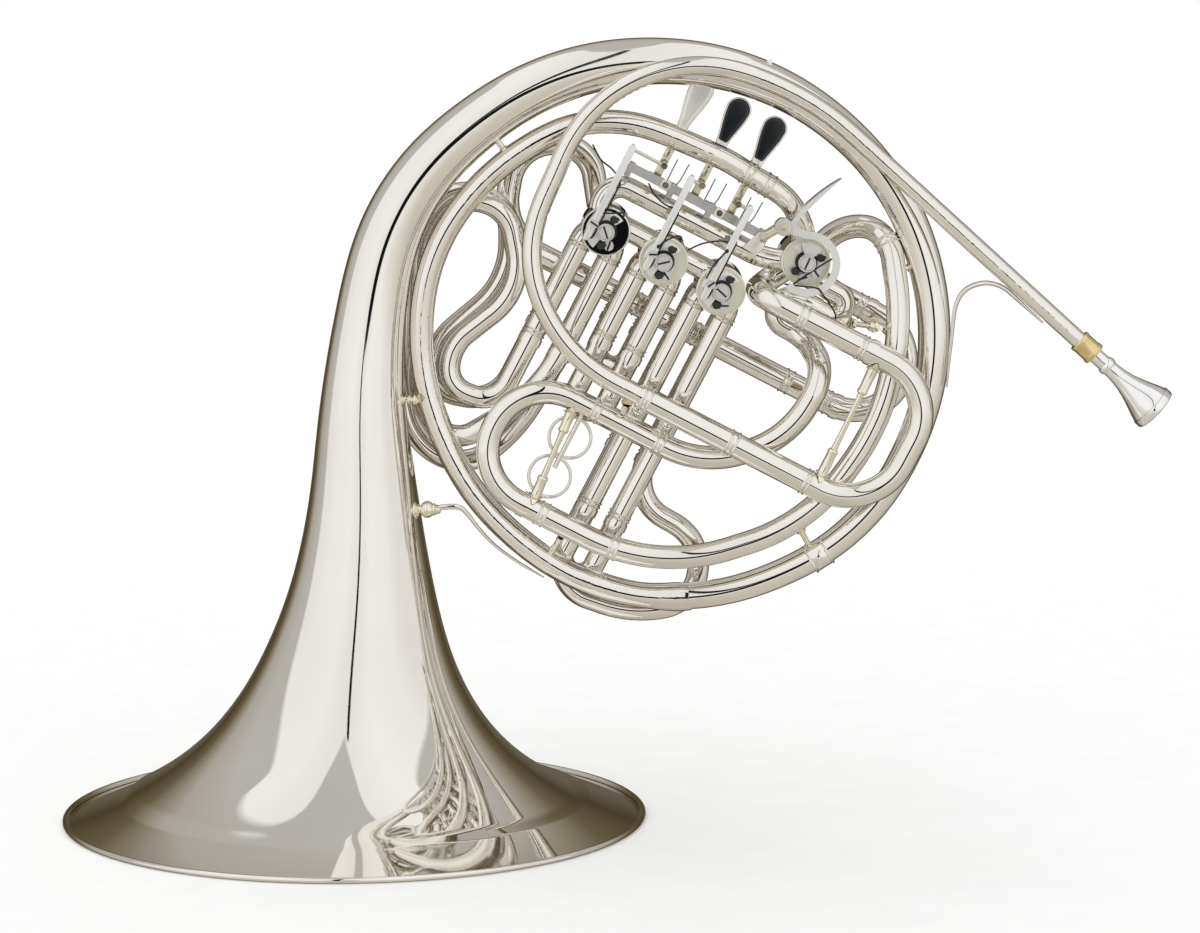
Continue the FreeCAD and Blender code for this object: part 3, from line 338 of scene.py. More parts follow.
def rings_mesh(rings, closed=False):
    """Faces that join rings of equal size, and a cap at each open end."""
    count = len(rings[0])
    verts = [v for ring in rings for v in ring]
    faces = []
    last = len(rings) if closed else len(rings) - 1
    for i in range(last):
        near, far = i * count, ((i + 1) % len(rings)) * count
        for j in range(count):
            k = (j + 1) % count
            faces.append((near + j, near + k, far + k, far + j))
    if not closed:
        faces.append(tuple(reversed(range(count))))
        faces.append(tuple(range(len(verts) - count, len(verts))))
    return verts, faces


# -------- the bell and its tail
def rounded_line(corners, step):
    """Points along straight runs joined by tangent arcs that take up nearly all the room."""
    fill = 0.98
    points = [corners[0]]
    last = len(corners) - 1
    for i in range(1, last):
        before, after = corners[i - 1] - corners[i], corners[i + 1] - corners[i]
        turn = math.pi - before.angle(after)
        room_before = before.length * (1 if i == 1 else 0.5)
        room_after = after.length * (1 if i == last - 1 else 0.5)
        reach = fill * min(room_before, room_after)
        radius = reach / math.tan(turn / 2)
        start, end = before.normalized(), after.normalized()
        middle = corners[i] + (start + end).normalized() * (radius / math.cos(turn / 2))
        first = corners[i] + start * reach - middle
        axis = first.cross(corners[i] + end * reach - middle).normalized()
        count = max(3, round(radius * turn / step))
        for k in range(count + 1):
            points.append(middle + Matrix.Rotation(turn * k / count, 3, axis) @ first)
    points.append(corners[-1])
    return points


def evenly(points, step):
    """The same line with points at equal distances."""
    lengths = [0.0]
    for a, b in zip(points, points[1:]):
        lengths.append(lengths[-1] + (b - a).length)
    count = max(2, round(lengths[-1] / step))
    result, k = [], 0
    for i in range(count + 1):
        want = lengths[-1] * i / count
        while k < len(lengths) - 2 and lengths[k + 1] < want:
            k += 1
        span = lengths[k + 1] - lengths[k] or 1.0
        result.append(points[k].lerp(points[k + 1], (want - lengths[k]) / span))
    return result


def smoothed(points, rounds):
    """The same line with its bends eased; both ends stay in place."""
    for _ in range(rounds):
        middle = [(a + b * 2 + c) / 4 for a, b, c in zip(points, points[1:], points[2:])]
        points = [points[0], *middle, points[-1]]
    return points


# the bell line's corners in x and z, millimetres, from the middle of the mouth round to the tail
HORN_CORNERS = [(0, 0), (0.5, 50), (7, 150), (5, 246), (24, 339), (111, 407), (219, 405), (298, 339),
                (318, 240), (275, 152), (194, 116), (122, 124), (62, 172), (35, 241)]
LINE_STEP = 0.002
TAIL_END = 0.938
FLARE_REACH, FLARE_OFFSET, FLARE_POWER = 0.205, 0.062, 1.285
FLARE_BASE, MOUTH = 0.0016, 0.1555
# behind the flare: distance from the rim and radius, millimetres
TAPER = [(205, 25.1), (240, 21.3), (275, 18.7), (330, 16.6), (390, 14.7), (450, 13.4), (540, 11.2),
         (610, 9.6), (700, 8.9), (780, 8.15), (860, 7.6), (938, 7.2)]
FLARE_SLOPE = -0.1134


def horn_line():
    """The bell's centre line before smoothing."""
    corners = [Vector((x / 1000, 0, z / 1000)) for x, z in HORN_CORNERS]
    return evenly(rounded_line(corners, LINE_STEP), LINE_STEP)


def horn_radius(distance):
    """The bell's outer radius in metres, at a distance in metres from the rim."""
    if distance <= FLARE_REACH:
        opening = (FLARE_OFFSET / (FLARE_OFFSET + distance)) ** FLARE_POWER
        return FLARE_BASE + (MOUTH - FLARE_BASE) * opening
    place = distance * 1000
    i = next((k for k in range(len(TAPER) - 1) if place <= TAPER[k + 1][0]), len(TAPER) - 2)
    (s0, r0), (s1, r1) = TAPER[i], TAPER[i + 1]

    def slope(k):
        if k <= 0:
            return FLARE_SLOPE
        k = min(k, len(TAPER) - 2)
        return (TAPER[k + 1][1] - TAPER[k - 1][1]) / (TAPER[k + 1][0] - TAPER[k - 1][0])
    t, span = (place - s0) / (s1 - s0), s1 - s0
    value = ((2 * t ** 3 - 3 * t ** 2 + 1) * r0 + (t ** 3 - 2 * t ** 2 + t) * span * slope(i)
             + (3 * t ** 2 - 2 * t ** 3) * r1 + (t ** 3 - t ** 2) * span * slope(i + 1))
    return value / 1000


def make_bell():
    """One smooth shell from the rim to the end of the tail, with its inside."""
    wall, around, rounds = 0.0007, 160, 60
    line = smoothed(horn_line(), rounds)
    side = Vector((0, 1, 0))
    rings, distance = [], 0.0
    for i, point in enumerate(line):
        if i:
            distance += (point - line[i - 1]).length
        if distance > TAIL_END:
            break
        ahead = (line[min(i + 1, len(line) - 1)] - line[max(i - 1, 0)]).normalized()
        rings.append((point, ahead.cross(side), horn_radius(distance)))
    # finer sections near the rim, where the mouth opens fastest
    rim_depth, rim_count, rim_crowding, beside_rim = 0.012, 24, 1.6, 0.05
    fine = []
    for k in range(rim_count):
        height = rim_depth * (k / rim_count) ** rim_crowding
        fine.append((Vector((0, 0, height)), Vector((-1, 0, 0)), horn_radius(height)))
    rings = fine + [ring for ring in rings if ring[0].z > rim_depth or ring[0].x > beside_rim]
    turns = [2 * math.pi * j / around for j in range(around)]

    def ring_points(point, other, radius):
        return [point + (side * math.cos(t) + other * math.sin(t)) * radius for t in turns]
    outer = [ring_points(*ring) for ring in rings]
    inner = [ring_points(point, other, radius - wall) for point, other, radius in reversed(rings)]
    verts, faces = rings_mesh(outer + inner, closed=True)
    bell = add_piece("bell_shell", verts, faces, SILVER, "horn", smooth=60)
    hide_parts("bell_flare", "bell_tail")


make_bell()


# -------- braces
def islands(node):
    """The separate solids of one node, each as an array of its vertices."""
    graph = bmesh.new()
    graph.from_mesh(node.data)
    bmesh.ops.remove_doubles(graph, verts=graph.verts, dist=1e-6)
    seen, found = set(), []
    for vert in graph.verts:
        if vert in seen:
            continue
        pile, group = [vert], []
        seen.add(vert)
        while pile:
            here = pile.pop()
            group.append(here.co[:])
            for edge in here.link_edges:
                other = edge.other_vert(here)
                if other not in seen:
                    seen.add(other)
                    pile.append(other)
        found.append(np.array(group))
    graph.free()
    return found


def long_axis(points):
    """Both ends of a long thin solid, on its own axis."""
    centre = (points.max(axis=0) + points.min(axis=0)) / 2
    local = points - points.mean(axis=0)
    axis = np.linalg.eigh(local.T @ local)[1][:, 2]
    reach = (points - centre) @ axis
    middle = centre + axis * (reach.max() + reach.min()) / 2
    half = (reach.max() - reach.min()) / 2
    return Vector(middle - axis * half), Vector(middle + axis * half)


def saddle(shape, end, way, radius, width=3.2, reach=64.0, seat=0.0):
    """A pointed plate wrapped over a tube at a brace's end; way points into the tube."""
    steps, sharpness, tip, thick = 10, 0.8, 0.25, 0.65
    way = way.normalized()
    front = (FRONT - way * FRONT.dot(way)).normalized()
    run = way.cross(front)
    centre = end + way * (radius + seat) / 1000
    rows = []
    for k in range(-steps, steps + 1):
        turn = math.radians(reach * k / steps)
        half = width * (1 - abs(k) / steps) ** sharpness + tip
        edges = []
        for lift in (0.0, thick):
            out = (radius + lift) / 1000
            middle = centre - way * math.cos(turn) * out + front * math.sin(turn) * out
            edges.append([middle - run * half / 1000, middle + run * half / 1000])
        (a, b), (c, d) = edges
        rows.append([a, b, d, c])
    shape.add_rings(rows)


def onion(length):
    """One end of a turned brace: a foot, a waist and a ball, made smaller on a short brace."""
    start = [(0, 0), (0, 3.1), (0.5, 3.2), (0.9, 2.6), (1.3, 1.7), (1.8, 1.6), (2.2, 2.3),
             (2.8, 2.75), (3.4, 2.6), (3.9, 2.0), (4.2, 1.5)]
    full_size = 4.4
    scale = min(1.0, length * 0.5 / full_size)
    return [(d * scale, r * (0.75 + 0.25 * scale)) for d, r in start]


def near_slide(point, reach=5.0):
    """Whether a brace's end stands beside the F slide's bow, which must stay free to move."""
    mesh = NODES["f_slide_bow"].data
    faces = [tuple(face.vertices) for face in mesh.polygons]
    tree = BVHTree.FromPolygons([vert.co for vert in mesh.vertices], faces)
    return tree.find_nearest(point)[3] * 1000 < reach


def make_short_braces():
    """Turned rods between the fixed tubes, with a pointed foot on each tube."""
    plain_rod, waist = 1.2, 1.7
    shape = Shape()
    for points in islands(NODES["body_braces"]):
        a, b = long_axis(points)
        length = (b - a).length * 1000
        low = onion(length)
        profile = low + [(length / 2, 1.45)] + [(length - d, r) for d, r in reversed(low)]
        ends = [end for end in (a, b) if not near_slide(end)]
        if len(ends) < 2:
            slim = [(d, min(r, waist)) for d, r in profile[1:-1]]
            profile = [(0, plain_rod), *slim, (length, plain_rod)]
        shape.lathe(a, b - a, profile, 32)
        for end in ends:
            saddle(shape, end, (end - b) if end == a else (end - a), 6.6, 2.9, 52)
    piece = shape.finish("turned_braces", PALE_GOLD, "horn", 50)
    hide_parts("body_braces")


def make_strut(node, body, radius):
    """A long slide brace: a rod with a socket and a pointed saddle at each end."""
    groups = islands(NODES[node])
    a, b = long_axis(max(groups, key=lambda g: np.ptp(g, axis=0).max()))
    length = (b - a).length * 1000
    reach = length * 0.24
    low = [(0, 0), (0, 2.7), (0.6, 3.0), (1.4, 2.9), (reach - 2.2, 2.55), (reach - 1.6, 2.9),
           (reach - 0.5, 2.9), (reach, 2.4), (reach + 0.3, 1.75), (length * 0.40, 1.45)]
    shape = Shape()
    shape.lathe(a, b - a, low + [(length - d, r) for d, r in reversed(low)], 36)
    for end, way in ((a, a - b), (b, b - a)):
        saddle(shape, end, way, radius, 3.6, 70, -1.0)
    piece = shape.finish(f"{node}_turned", PALE_GOLD, body, 50)
    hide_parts(node)


def ribbon(shape, points, sizes, segments=20):
    """An oval strip along a smooth line; sizes give half depth and half thickness at each point."""
    count = 8
    line = curved(points, count)
    rings = []
    for i, point in enumerate(line):
        ahead = (line[min(i + 1, len(line) - 1)] - line[max(i - 1, 0)]).normalized()
        deep = (FRONT - ahead * FRONT.dot(ahead)).normalized()
        other = ahead.cross(deep)
        place = min(i / count, len(sizes) - 1.0001)
        k = int(place)
        (d0, t0), (d1, t1) = sizes[k], sizes[k + 1]
        depth, thick = d0 + (d1 - d0) * (place - k), t0 + (t1 - t0) * (place - k)
        turns = [2 * math.pi * n / segments for n in range(segments)]
        rings.append([point + deep * math.cos(t) * depth / 1000 + other * math.sin(t) * thick / 1000
                      for t in turns])
    shape.add_rings(rings)


def make_strip_braces():
    """The bell's rod brace that flattens along the branch, and the leadpipe's bent strip."""
    bell = Shape()
    line = [(36, -4, 167.6), (44.8, -4, 168.2), (52.5, -4, 169.0), (58.1, -4, 168.3),
            (62.2, -3.8, 164.6), (67.2, -3.4, 157.8), (75.6, -3, 148.6), (85.1, -3, 141.2),
            (94.6, -3, 135.1), (102.6, -3, 130.4)]
    sizes = [(1.5, 1.5), (1.5, 1.5), (1.5, 1.5), (1.6, 1.4), (1.9, 1.2), (2.3, 0.95), (2.5, 0.8),
             (2.5, 0.7), (2.4, 0.65), (1.4, 0.35)]
    ribbon(bell, [Vector(p) / 1000 for p in line], sizes)
    piece = bell.finish("bell_brace_strip", SILVER, "horn", 60)
    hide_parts("bell_brace")
    lead = Shape()
    line = [(317.2, -6.5, 233.0), (319.4, -8, 259.0), (321.2, -10, 276.5), (326.3, -13, 285.6),
            (335.6, -17, 289.4), (344.9, -20, 287.4), (353.5, -22, 280.2), (366.0, -23, 268.9)]
    sizes = [(1.2, 0.5), (2.6, 0.9), (2.6, 1.1), (2.4, 1.3), (2.4, 1.3), (2.4, 1.2), (2.4, 1.0),
             (1.2, 0.5)]
    ribbon(lead, [Vector(p) / 1000 for p in line], sizes)
    piece = lead.finish("leadpipe_brace_strip", SILVER, "horn", 60)
    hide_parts("s_brace")
    cup = Shape()
    cup.lathe(Vector((0.0335, -0.004, 0.1675)), Vector((1, 0, 0)),
              [(0, 0), (0, 4.6), (0.8, 4.8), (1.4, 4.4), (2.2, 2.6), (3.2, 2.2), (4.2, 3.4), (5.6, 4.4),
               (7.4, 4.6), (9.0, 3.9), (9.8, 3.0), (10.2, 3.3), (10.9, 3.3), (11.3, 2.6), (13.5, 2.2),
               (14.0, 1.5), (14.0, 0)], 40)
    cup.finish("bell_brace_cup", PALE_GOLD, "horn", 50)


def node_points(name):
    """A node's vertices as one array."""
    return np.array([v.co[:] for v in NODES[name].data.vertices])


def make_mouthpiece():
    """The mouthpiece, a hollow turned funnel with a rounded rim, and the banded receiver it sits in."""
    way = Vector((0.741785, 0, -0.670655)).normalized()
    points = node_points("mouthpiece")
    reach = points @ np.array(way)
    side = points - np.outer(reach, np.array(way))
    start = Vector((side.max(axis=0) + side.min(axis=0)) / 2) + way * float(reach.min())
    profile = [(0, 2.4), (0, 3.7), (0.4, 3.9), (24.0, 4.1), (26.2, 4.2), (26.8, 4.8), (28.2, 5.0),
               (29.6, 4.8), (30.2, 4.25), (33.0, 4.3), (37.0, 4.75), (41.0, 5.5), (45.0, 6.6),
               (49.0, 8.0), (53.0, 9.6), (56.5, 11.0), (58.4, 11.6), (59.0, 11.7), (59.3, 12.2),
               (60.0, 12.4), (62.6, 12.4), (63.4, 12.1), (63.8, 11.3), (63.7, 10.3), (63.0, 9.4),
               (61.0, 8.6), (57.0, 7.6), (50.0, 6.2), (44.0, 4.6), (38.0, 3.0), (34.0, 2.4),
               (24.0, 1.9), (0, 2.4)]
    shape = Shape()
    shape.lathe(start, way, profile, 72)
    piece = shape.finish("mouthpiece_turned", WHITE_SILVER, "mouthpiece_body", 40)
    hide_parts("mouthpiece")
    ring = Shape()
    points = node_points("receiver_ring")
    reach = points @ np.array(way)
    low, high = float(reach.min()) * 1000, float(reach.max()) * 1000
    middle = start - way * float(np.dot(np.array(start), np.array(way)))
    across = points - np.outer(reach, np.array(way)) - np.array(middle)
    outer = float(np.linalg.norm(across, axis=1).max()) * 1000
    base, span = middle + way * low / 1000, high - low
    bands = [(0, -0.6), (0, 0.1), (0.4, 0.35), (1.6, 0.35), (2.0, 0.05), (span - 2.6, 0.1),
             (span - 2.2, 0.45), (span - 0.5, 0.45), (span, 0.1), (span, -0.6), (0, -0.6)]
    ring.lathe(base, way, [(d, outer + rise) for d, rise in bands], 56)
    ring.finish("receiver_bands", GOLD, "horn", 40)


make_short_braces()
make_strut("main_slide_strut", "main_slide", 6.6)
make_strut("f_slide_strut", "f_slide", 6.6)
make_strip_braces()
make_mouthpiece()


# -------- valve faces
# the angle of each stop cork round its valve
BUMPERS = [(83.0, -83.0)] * 3 + [(46.0, -116.0)]
CORK_CIRCLE = 7.7


def make_valve_faces():
    """The bearing plates with their stop plates, corks and screws."""
    first, others, stops, corks, screws = Shape(), Shape(), Shape(), Shape(), Shape()
    for index, (along, up) in enumerate(VALVES):
        shape = first if index == 0 else others
        profile = [(-4.0, 13.2), (-0.5, 13.2), (-0.15, 13.1), (0.0, 12.8), (0.0, 12.3),
                   (-0.12, 12.15), (-0.12, 3.1), (-4.0, 3.1), (-4.0, 13.2)]
        shape.lathe(spot(along, up, -2.0), FRONT, profile, 96)
        opening = (58, 250) if index < 3 else (-30, 158)
        outline = arc(10.7, opening[0], opening[1], 40) + arc(5.0, opening[1], opening[0], 24)
        stops.slab(outline, -3.1, -1.9, (along, up), 0.3)
        for angle in BUMPERS[index]:
            a, u = CORK_CIRCLE * math.cos(math.radians(angle)), CORK_CIRCLE * math.sin(math.radians(angle))
            heart = arc(2.0, 70, 330, 20) + [(2.7, -0.4), (2.3, 0.5), (2.9, 1.0), (2.2, 2.0)]
            corks.slab(heart, -8.4, -2.0, (along + a, up + u), 0.25)
        places = [(4.9, -6.1)] if index < 3 else [(2.3, 7.6), (7.3, -2.7), (2.2, -8.4)]
        for n, (a, u) in enumerate(places):
            screws.screw(spot(along + a, up + u, -3.0), FRONT, 2.6, 2.4, 25 + 70 * n + 55 * index)
    face = first.finish("bearing_plate_1", MIRROR, "horn")
    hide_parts("bearing_plates")
    others.finish("bearing_plates_2_4", CREAM, "horn")
    stops.finish("stop_plates", SATIN_BRIGHT, "horn")
    bumpers = corks.finish("stop_corks", RUBBER_AND_SHADE, "horn")
    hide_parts("stop_bumpers")
    screws.finish("face_screws", SCREW, "horn")


HUB_SLOT_TURNS = (62, 148, 92, 20)


def make_hub_rings():
    """The ring and slotted screw on each rotor's hub."""
    profile = [(0, 4.2), (0, 4.75), (1.7, 4.75), (1.95, 4.55), (1.95, 3.95), (1.7, 3.75), (0.5, 3.75),
               (0.0, 4.2)]
    for index, (along, up) in enumerate(VALVES):
        ring = Shape()
        ring.lathe(spot(along, up, -11.55), FRONT, profile, 48)
        ring.screw(spot(along, up, -13.15), FRONT, 3.6, 1.1, HUB_SLOT_TURNS[index], 0.8,
                   f"rotor_{index + 1}")
        piece = ring.finish(f"hub_ring_{index + 1}", SCREW, f"rotor_{index + 1}")


# -------- levers and link bars
def block(along, low, high):
    """A rectangle's outline: half its width, and its lower and upper edge."""
    return [(-along, low), (along, low), (along, high), (-along, high)]


SHANKS, BARS = [11.0, 33.5, 55.0], [-8.0, 27.0, 61.5]
PIN, HINGE, HINGE_Y, BAR_Y = 45.5, 36.0, 12.0, -16.0


def make_link_bars():
    """The flat bars beside the valves, each with a fork at the top and a tie screw."""
    for index, bar in enumerate(BARS):
        shape = Shape()
        outline = [(-1.2, -8.2), (0.6, -8.2), (1.85, -5.5), (1.85, PIN + 1.2), (1.1, PIN + 2.0),
                   (-1.1, PIN + 2.0), (-1.85, PIN + 1.2), (-1.85, -6.2)]
        shape.slab(outline, BAR_Y - 0.6, BAR_Y + 0.6, (bar, 0), 0.35)
        for low, high in ((1.35, 2.4), (-2.4, -1.35)):
            shape.slab(block(0.8, low, high), BAR_Y + 0.5, BAR_Y + 9.2, (bar, PIN), 0.2)
        shape.slab(block(0.8, -1.4, 1.4), BAR_Y + 8.3, BAR_Y + 9.2, (bar, PIN), 0.1)
        piece = shape.finish(f"link_bar_plate_{index + 1}", BAR_SILVER, f"link_{index + 1}")
        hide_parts(f"link_bar_{index + 1}")
        tie = Shape()
        tie.screw(spot(bar + 0.3, 1.6, BAR_Y - 0.6), FRONT, 2.4, 2.0, 100 + 35 * index, 0.9,
                  f"link_{index + 1}")
        tie.finish(f"tie_screw_{index + 1}", SCREW, f"link_{index + 1}")


def teardrop(inset, foot):
    """A paddle's outline about its shank, drawn in by an even inset, from its foot to the round top."""
    wide, top = 6.8, 53.0
    side = [(foot, 2.7), (32.0, 3.1), (36.0, 3.65), (40.0, 4.5), (44.0, 5.45), (48.5, 6.35), (top, wide)]
    right = [(width - inset, height) for height, width in side if height >= foot]
    reach = wide - inset
    for angle in range(12, 90, 12):
        turn = math.radians(angle)
        right.append((reach * math.cos(turn), top + reach * math.sin(turn)))
    return right + [(0.0, top + reach)] + [(-x, y) for x, y in reversed(right)]


def make_paddles():
    """The three finger levers: paddle, black pad on two of them, ribbed shank, hinge tube and pins."""
    plate_levels = [(0.35, 0.0), (0.0, 0.35), (0.0, 1.1), (0.15, 1.5), (0.45, 1.7), (0.8, 1.6),
                    (1.1, 1.35), (1.6, 1.25), (2.4, 1.2)]
    pad_levels = [(0.85, 1.2), (0.85, 1.65), (1.0, 1.85), (1.3, 1.95), (2.4, 2.0)]
    hinge_profile = [(0, 1.35), (0, 2.3), (0.3, 2.55), (2.6, 2.55), (2.9, 2.25), (6.1, 2.25), (6.4, 2.55),
                     (8.7, 2.55), (9.0, 2.3), (9.0, 1.35), (0, 1.35)]
    for index, along in enumerate(SHANKS):
        body = f"lever_{index + 1}"

        def rings(levels, foot):
            return [[spot(along + x, HINGE + y, HINGE_Y + 0.8 - lift)
                     for x, y in teardrop(inset, foot + inset * 0.6)] for inset, lift in levels]
        verts, faces = rings_mesh(rings(plate_levels, 27.0))
        plate = add_piece(f"paddle_{index + 1}", verts, faces, PADDLE, body, 60)
        if index:
            verts, faces = rings_mesh(rings(pad_levels, 34.0))
            add_piece(f"paddle_pad_{index + 1}", verts, faces, PAD_BLACK, body, 60)
        shank = Shape()
        shank.slab([(-2.1, 1.5), (2.1, 1.5), (2.1, 22.0), (2.5, 24.0), (2.7, 28.5), (-2.7, 28.5),
                    (-2.5, 24.0), (-2.1, 22.0)], HINGE_Y - 0.8, HINGE_Y + 0.8, (along, HINGE), 0.35)
        for k in range(4):
            low = 16.6 + k * 2.9
            shank.slab(block(1.9, low, low + 1.7), HINGE_Y - 1.3, HINGE_Y - 0.7, (along, HINGE), 0.3)
        shank.lathe(spot(along - 4.5, HINGE, HINGE_Y), ALONG, hinge_profile)
        shank.tube([spot(along, PIN, HINGE_Y), spot(along, PIN, BAR_Y + 1.6)], 1.5, 24)
        shank.lathe(spot(along, PIN, HINGE_Y - 0.6), FRONT,
                    [(0, 0), (0, 2.3), (1.4, 2.3), (1.9, 1.6), (1.9, 0)])
        shank.lathe(spot(along, PIN, BAR_Y + 4.8), FRONT,
                    [(0, 0), (0, 2.0), (3.6, 2.0), (4.0, 1.6), (4.0, 0)])
        level = BAR_Y + 2.6
        shank.tube([spot(along + 1.5, PIN, level), spot(BARS[index] - 1.2, PIN, level)], 0.9, 20)
        piece = shank.finish(f"lever_shank_{index + 1}", LEVER_GOLD, body)
        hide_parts(f"lever_{index + 1}")


def make_springs():
    """Coils round the hinge rod with two long straight legs each."""
    turns, steps, width, coil_radius, wire = 5, 14, 5.5, 0.0026, 0.32
    shape = Shape()
    for along in SHANKS:
        low, coil = along + 6.0, []
        for k in range(turns * steps + 1):
            t = 2 * math.pi * k / steps
            centre = spot(low + width * k / (turns * steps), HINGE, HINGE_Y)
            coil.append(centre + (UP * math.cos(t) + FRONT * math.sin(t)) * coil_radius)
        start = [spot(low - 0.2, HINGE + 15, HINGE_Y - 3.2), spot(low - 0.1, HINGE + 6, HINGE_Y - 2.0)]
        end = [spot(low + 6.2, HINGE + 6, HINGE_Y - 2.0), spot(low + 6.4, HINGE + 15.5, HINGE_Y - 3.2)]
        shape.tube(start + coil + end, wire, 8)
    piece = shape.finish("spring_wires", STEEL_DARK, "horn", 60)
    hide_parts("lever_springs")


def make_rack_plates():
    """Small square plates on the hinge rack, each with a round pin."""
    plates, pins = Shape(), Shape()
    for along, up in ((17.1, 36.0), (49.5, 36.0)):
        plates.slab(block(2.6, -2.7, 2.7), 3.9, 5.5, (along, up), 0.35)
        pins.lathe(spot(along, up, 3.95), FRONT,
                   [(0, 0), (0, 1.7), (0.35, 1.7), (0.5, 1.5), (0.1, 1.3), (0.1, 0)], 28)
    plates.finish("rack_plates", CREAM, "horn")
    pins.finish("rack_pins", STEEL_DARK, "horn")


def make_string_ends():
    """Short loose ends of each string, with a knot where one leaves a link bar."""
    knot = [(0, 0), (0.1, 0.6), (0.5, 1.0), (0.9, 1.1), (1.3, 1.0), (1.7, 0.6), (1.8, 0)]
    tails = {
        1: [[(-7.0, 8.5, -15.0), (-2.5, 10.5, -17.3), (3.0, 13.6, -18.0), (4.6, 11.4, -17.6)],
            [(-7.4, 29.0, -14.2), (-13.0, 31.5, -14.5), (-20.0, 33.0, -13.0), (-27.5, 38.0, -12.0)]],
        2: [[(28.0, 6.5, -16.8), (30.5, 12.0, -17.6), (35.0, 16.6, -17.8), (38.0, 14.8, -17.6)],
            [(28.4, 29.0, -14.5), (22.0, 27.6, -14.4), (14.0, 29.5, -13.5), (8.0, 33.5, -13.0)]],
        3: [[(62.8, 26.0, -14.6), (56.0, 24.2, -14.4), (48.0, 18.5, -14.0), (42.6, 11.8, -13.6)],
            [(61.0, 21.0, -16.9), (58.4, 12.0, -17.4), (58.0, 3.0, -17.0)]],
    }
    for number, lines in tails.items():
        shape = Shape()
        for line in lines:
            shape.tube(curved([spot(*p) for p in line]), 0.45, 8)
            shape.lathe(spot(*line[0]) + FRONT * -0.0009, FRONT, knot, 14)
        shape.finish(f"string_ends_{number}", CORD, f"link_{number}", 60)
    shape = Shape()
    line = [(96.0, 19.5, -17.2), (104.0, 22.5, -17.6), (112.0, 25.5, -17.8), (116.5, 24.0, -17.6),
            (127.0, 18.0, -17.0), (130.0, 11.0, -16.5)]
    shape.tube(curved([spot(*p) for p in line]), 0.45, 8)
    shape.finish("string_ends_4", CORD, "thumb_lever", 60)


def make_painted_gap_shade():
    """Painted shade: a dark ring on each bearing plate round its shaft, where the gap falls in shade."""
    shape = Shape()
    for along, up in VALVES:
        shape.lathe(spot(along, up, -1.9), FRONT,
                    [(0, 3.2), (0, 5.9), (1.45, 5.9), (1.45, 3.2), (0, 3.2)], 48)
    shape.finish("shaft_gap_painted_shade", RUBBER_AND_SHADE, "horn")


def make_slot_shades():
    """Painted shade in every screw slot: a dark box on the slot's floor, kept with the body that carries the
    screw.
    """
    for body, places in SLOTS.items():
        shape = Shape()
        for base, axis, side, radius, width, height in places:
            other = axis.cross(side)
            a, b = side * radius * 0.93 / 1000, other * width * 0.5 / 1000
            low, top = base - axis * 0.0001, base + axis * height * 0.16 / 1000
            shape.add_rings([[p - a - b, p + a - b, p + a + b, p - a + b] for p in (low, top)])
        shape.finish(f"screw_slot_painted_shade_{body}", RUBBER_AND_SHADE, body)


def make_thumb_fittings():
    """The knurled knob beside the thumb lever, and the plate of its bracket."""
    ridges, high, low = 72, 4.55, 4.3
    rim = [(high if k % 2 else low) for k in range(ridges)]
    centre = spot(81.5, 46.0, -20.5)
    loops = []
    for depth, scale in ((0.0, 0.9), (0.3, 1.0), (2.6, 1.0), (3.0, 0.9), (3.1, 0.5)):
        loop = []
        for k, radius in enumerate(rim):
            turn = 2 * math.pi * k / ridges
            out = (ALONG * math.cos(turn) + UP * math.sin(turn)) * radius * scale / 1000
            loop.append(centre + FRONT * depth / 1000 + out)
        loops.append(loop)
    verts, faces = rings_mesh(loops)
    add_piece("thumb_knob_grip", verts, faces, SCREW, "horn", 20)
    dot = Shape()
    dot.lathe(spot(81.5, 46.0, -23.5), FRONT, [(0, 0), (0, 1.5), (0.5, 1.35), (0.8, 0.8), (0.85, 0)], 28)
    dot.finish("thumb_knob_dot", GOLD, "horn")
    plate = Shape()
    outline = [(-5.2, -6.0), (3.4, -6.6), (5.4, -1.0), (3.6, 5.4), (1.6, 6.6), (-0.6, 5.8)]
    plate.slab(outline, 2.2, 3.4, (73.5, 31.5), 0.4)
    plate.lathe(spot(75.4, 36.2, 2.4), FRONT, [(0, 0), (0, 2.3), (3.2, 2.3), (3.8, 1.7), (3.8, 0)], 32)
    plate.finish("thumb_bracket_plate", PADDLE, "horn")


# the wide band: its distance from the rim in metres, and half its width
BAND_AT, BAND_HALF = 0.866, 5.6
WIDE_COLLAR = 7.85
# rings on the valve slides' legs: how far along, front top, front end and rear end
LEG_RINGS = [(-8.9, -13.5, -66, -58), (8.9, -13.5, -66, -58), (25.6, -13.5, -50, -38),
             (43.4, -13.5, -50, -38), (60.1, -13.5, -134, -98), (77.9, -13.5, -134, -98)]
FRONT_LEGS, REAR_LEGS, LEG_RADIUS = 14, 31, 5.9
JOINT_RINGS = [(legs[0], legs[1], FRONT_LEGS, UP, LEG_RADIUS) for legs in LEG_RINGS]
JOINT_RINGS += [(legs[0], legs[2], FRONT_LEGS, UP, LEG_RADIUS) for legs in LEG_RINGS]
JOINT_RINGS += [(legs[0], legs[3], REAR_LEGS, UP, LEG_RADIUS) for legs in LEG_RINGS]
JOINT_RINGS += [(154.5, -67.5, -23.5, ALONG, 6.6), (147.5, 9, -23.5, ALONG, 6.6)]


def beaded(shape, middle, axis, outer, half):
    """A joint ring: a thin sleeve with a bead at each end and a fine groove beside each bead."""
    sleeve = outer + 0.16
    bead = [(0, outer - 0.5), (0, sleeve), (0.2, outer + 0.5), (0.6, outer + 0.72), (1.0, outer + 0.5),
            (1.2, sleeve), (1.5, outer - 0.05), (1.8, sleeve)]
    far_bead = [(2 * half - d, r) for d, r in reversed(bead)]
    shape.lathe(middle - axis * half / 1000, axis, [*bead, *far_bead, bead[0]], 64)


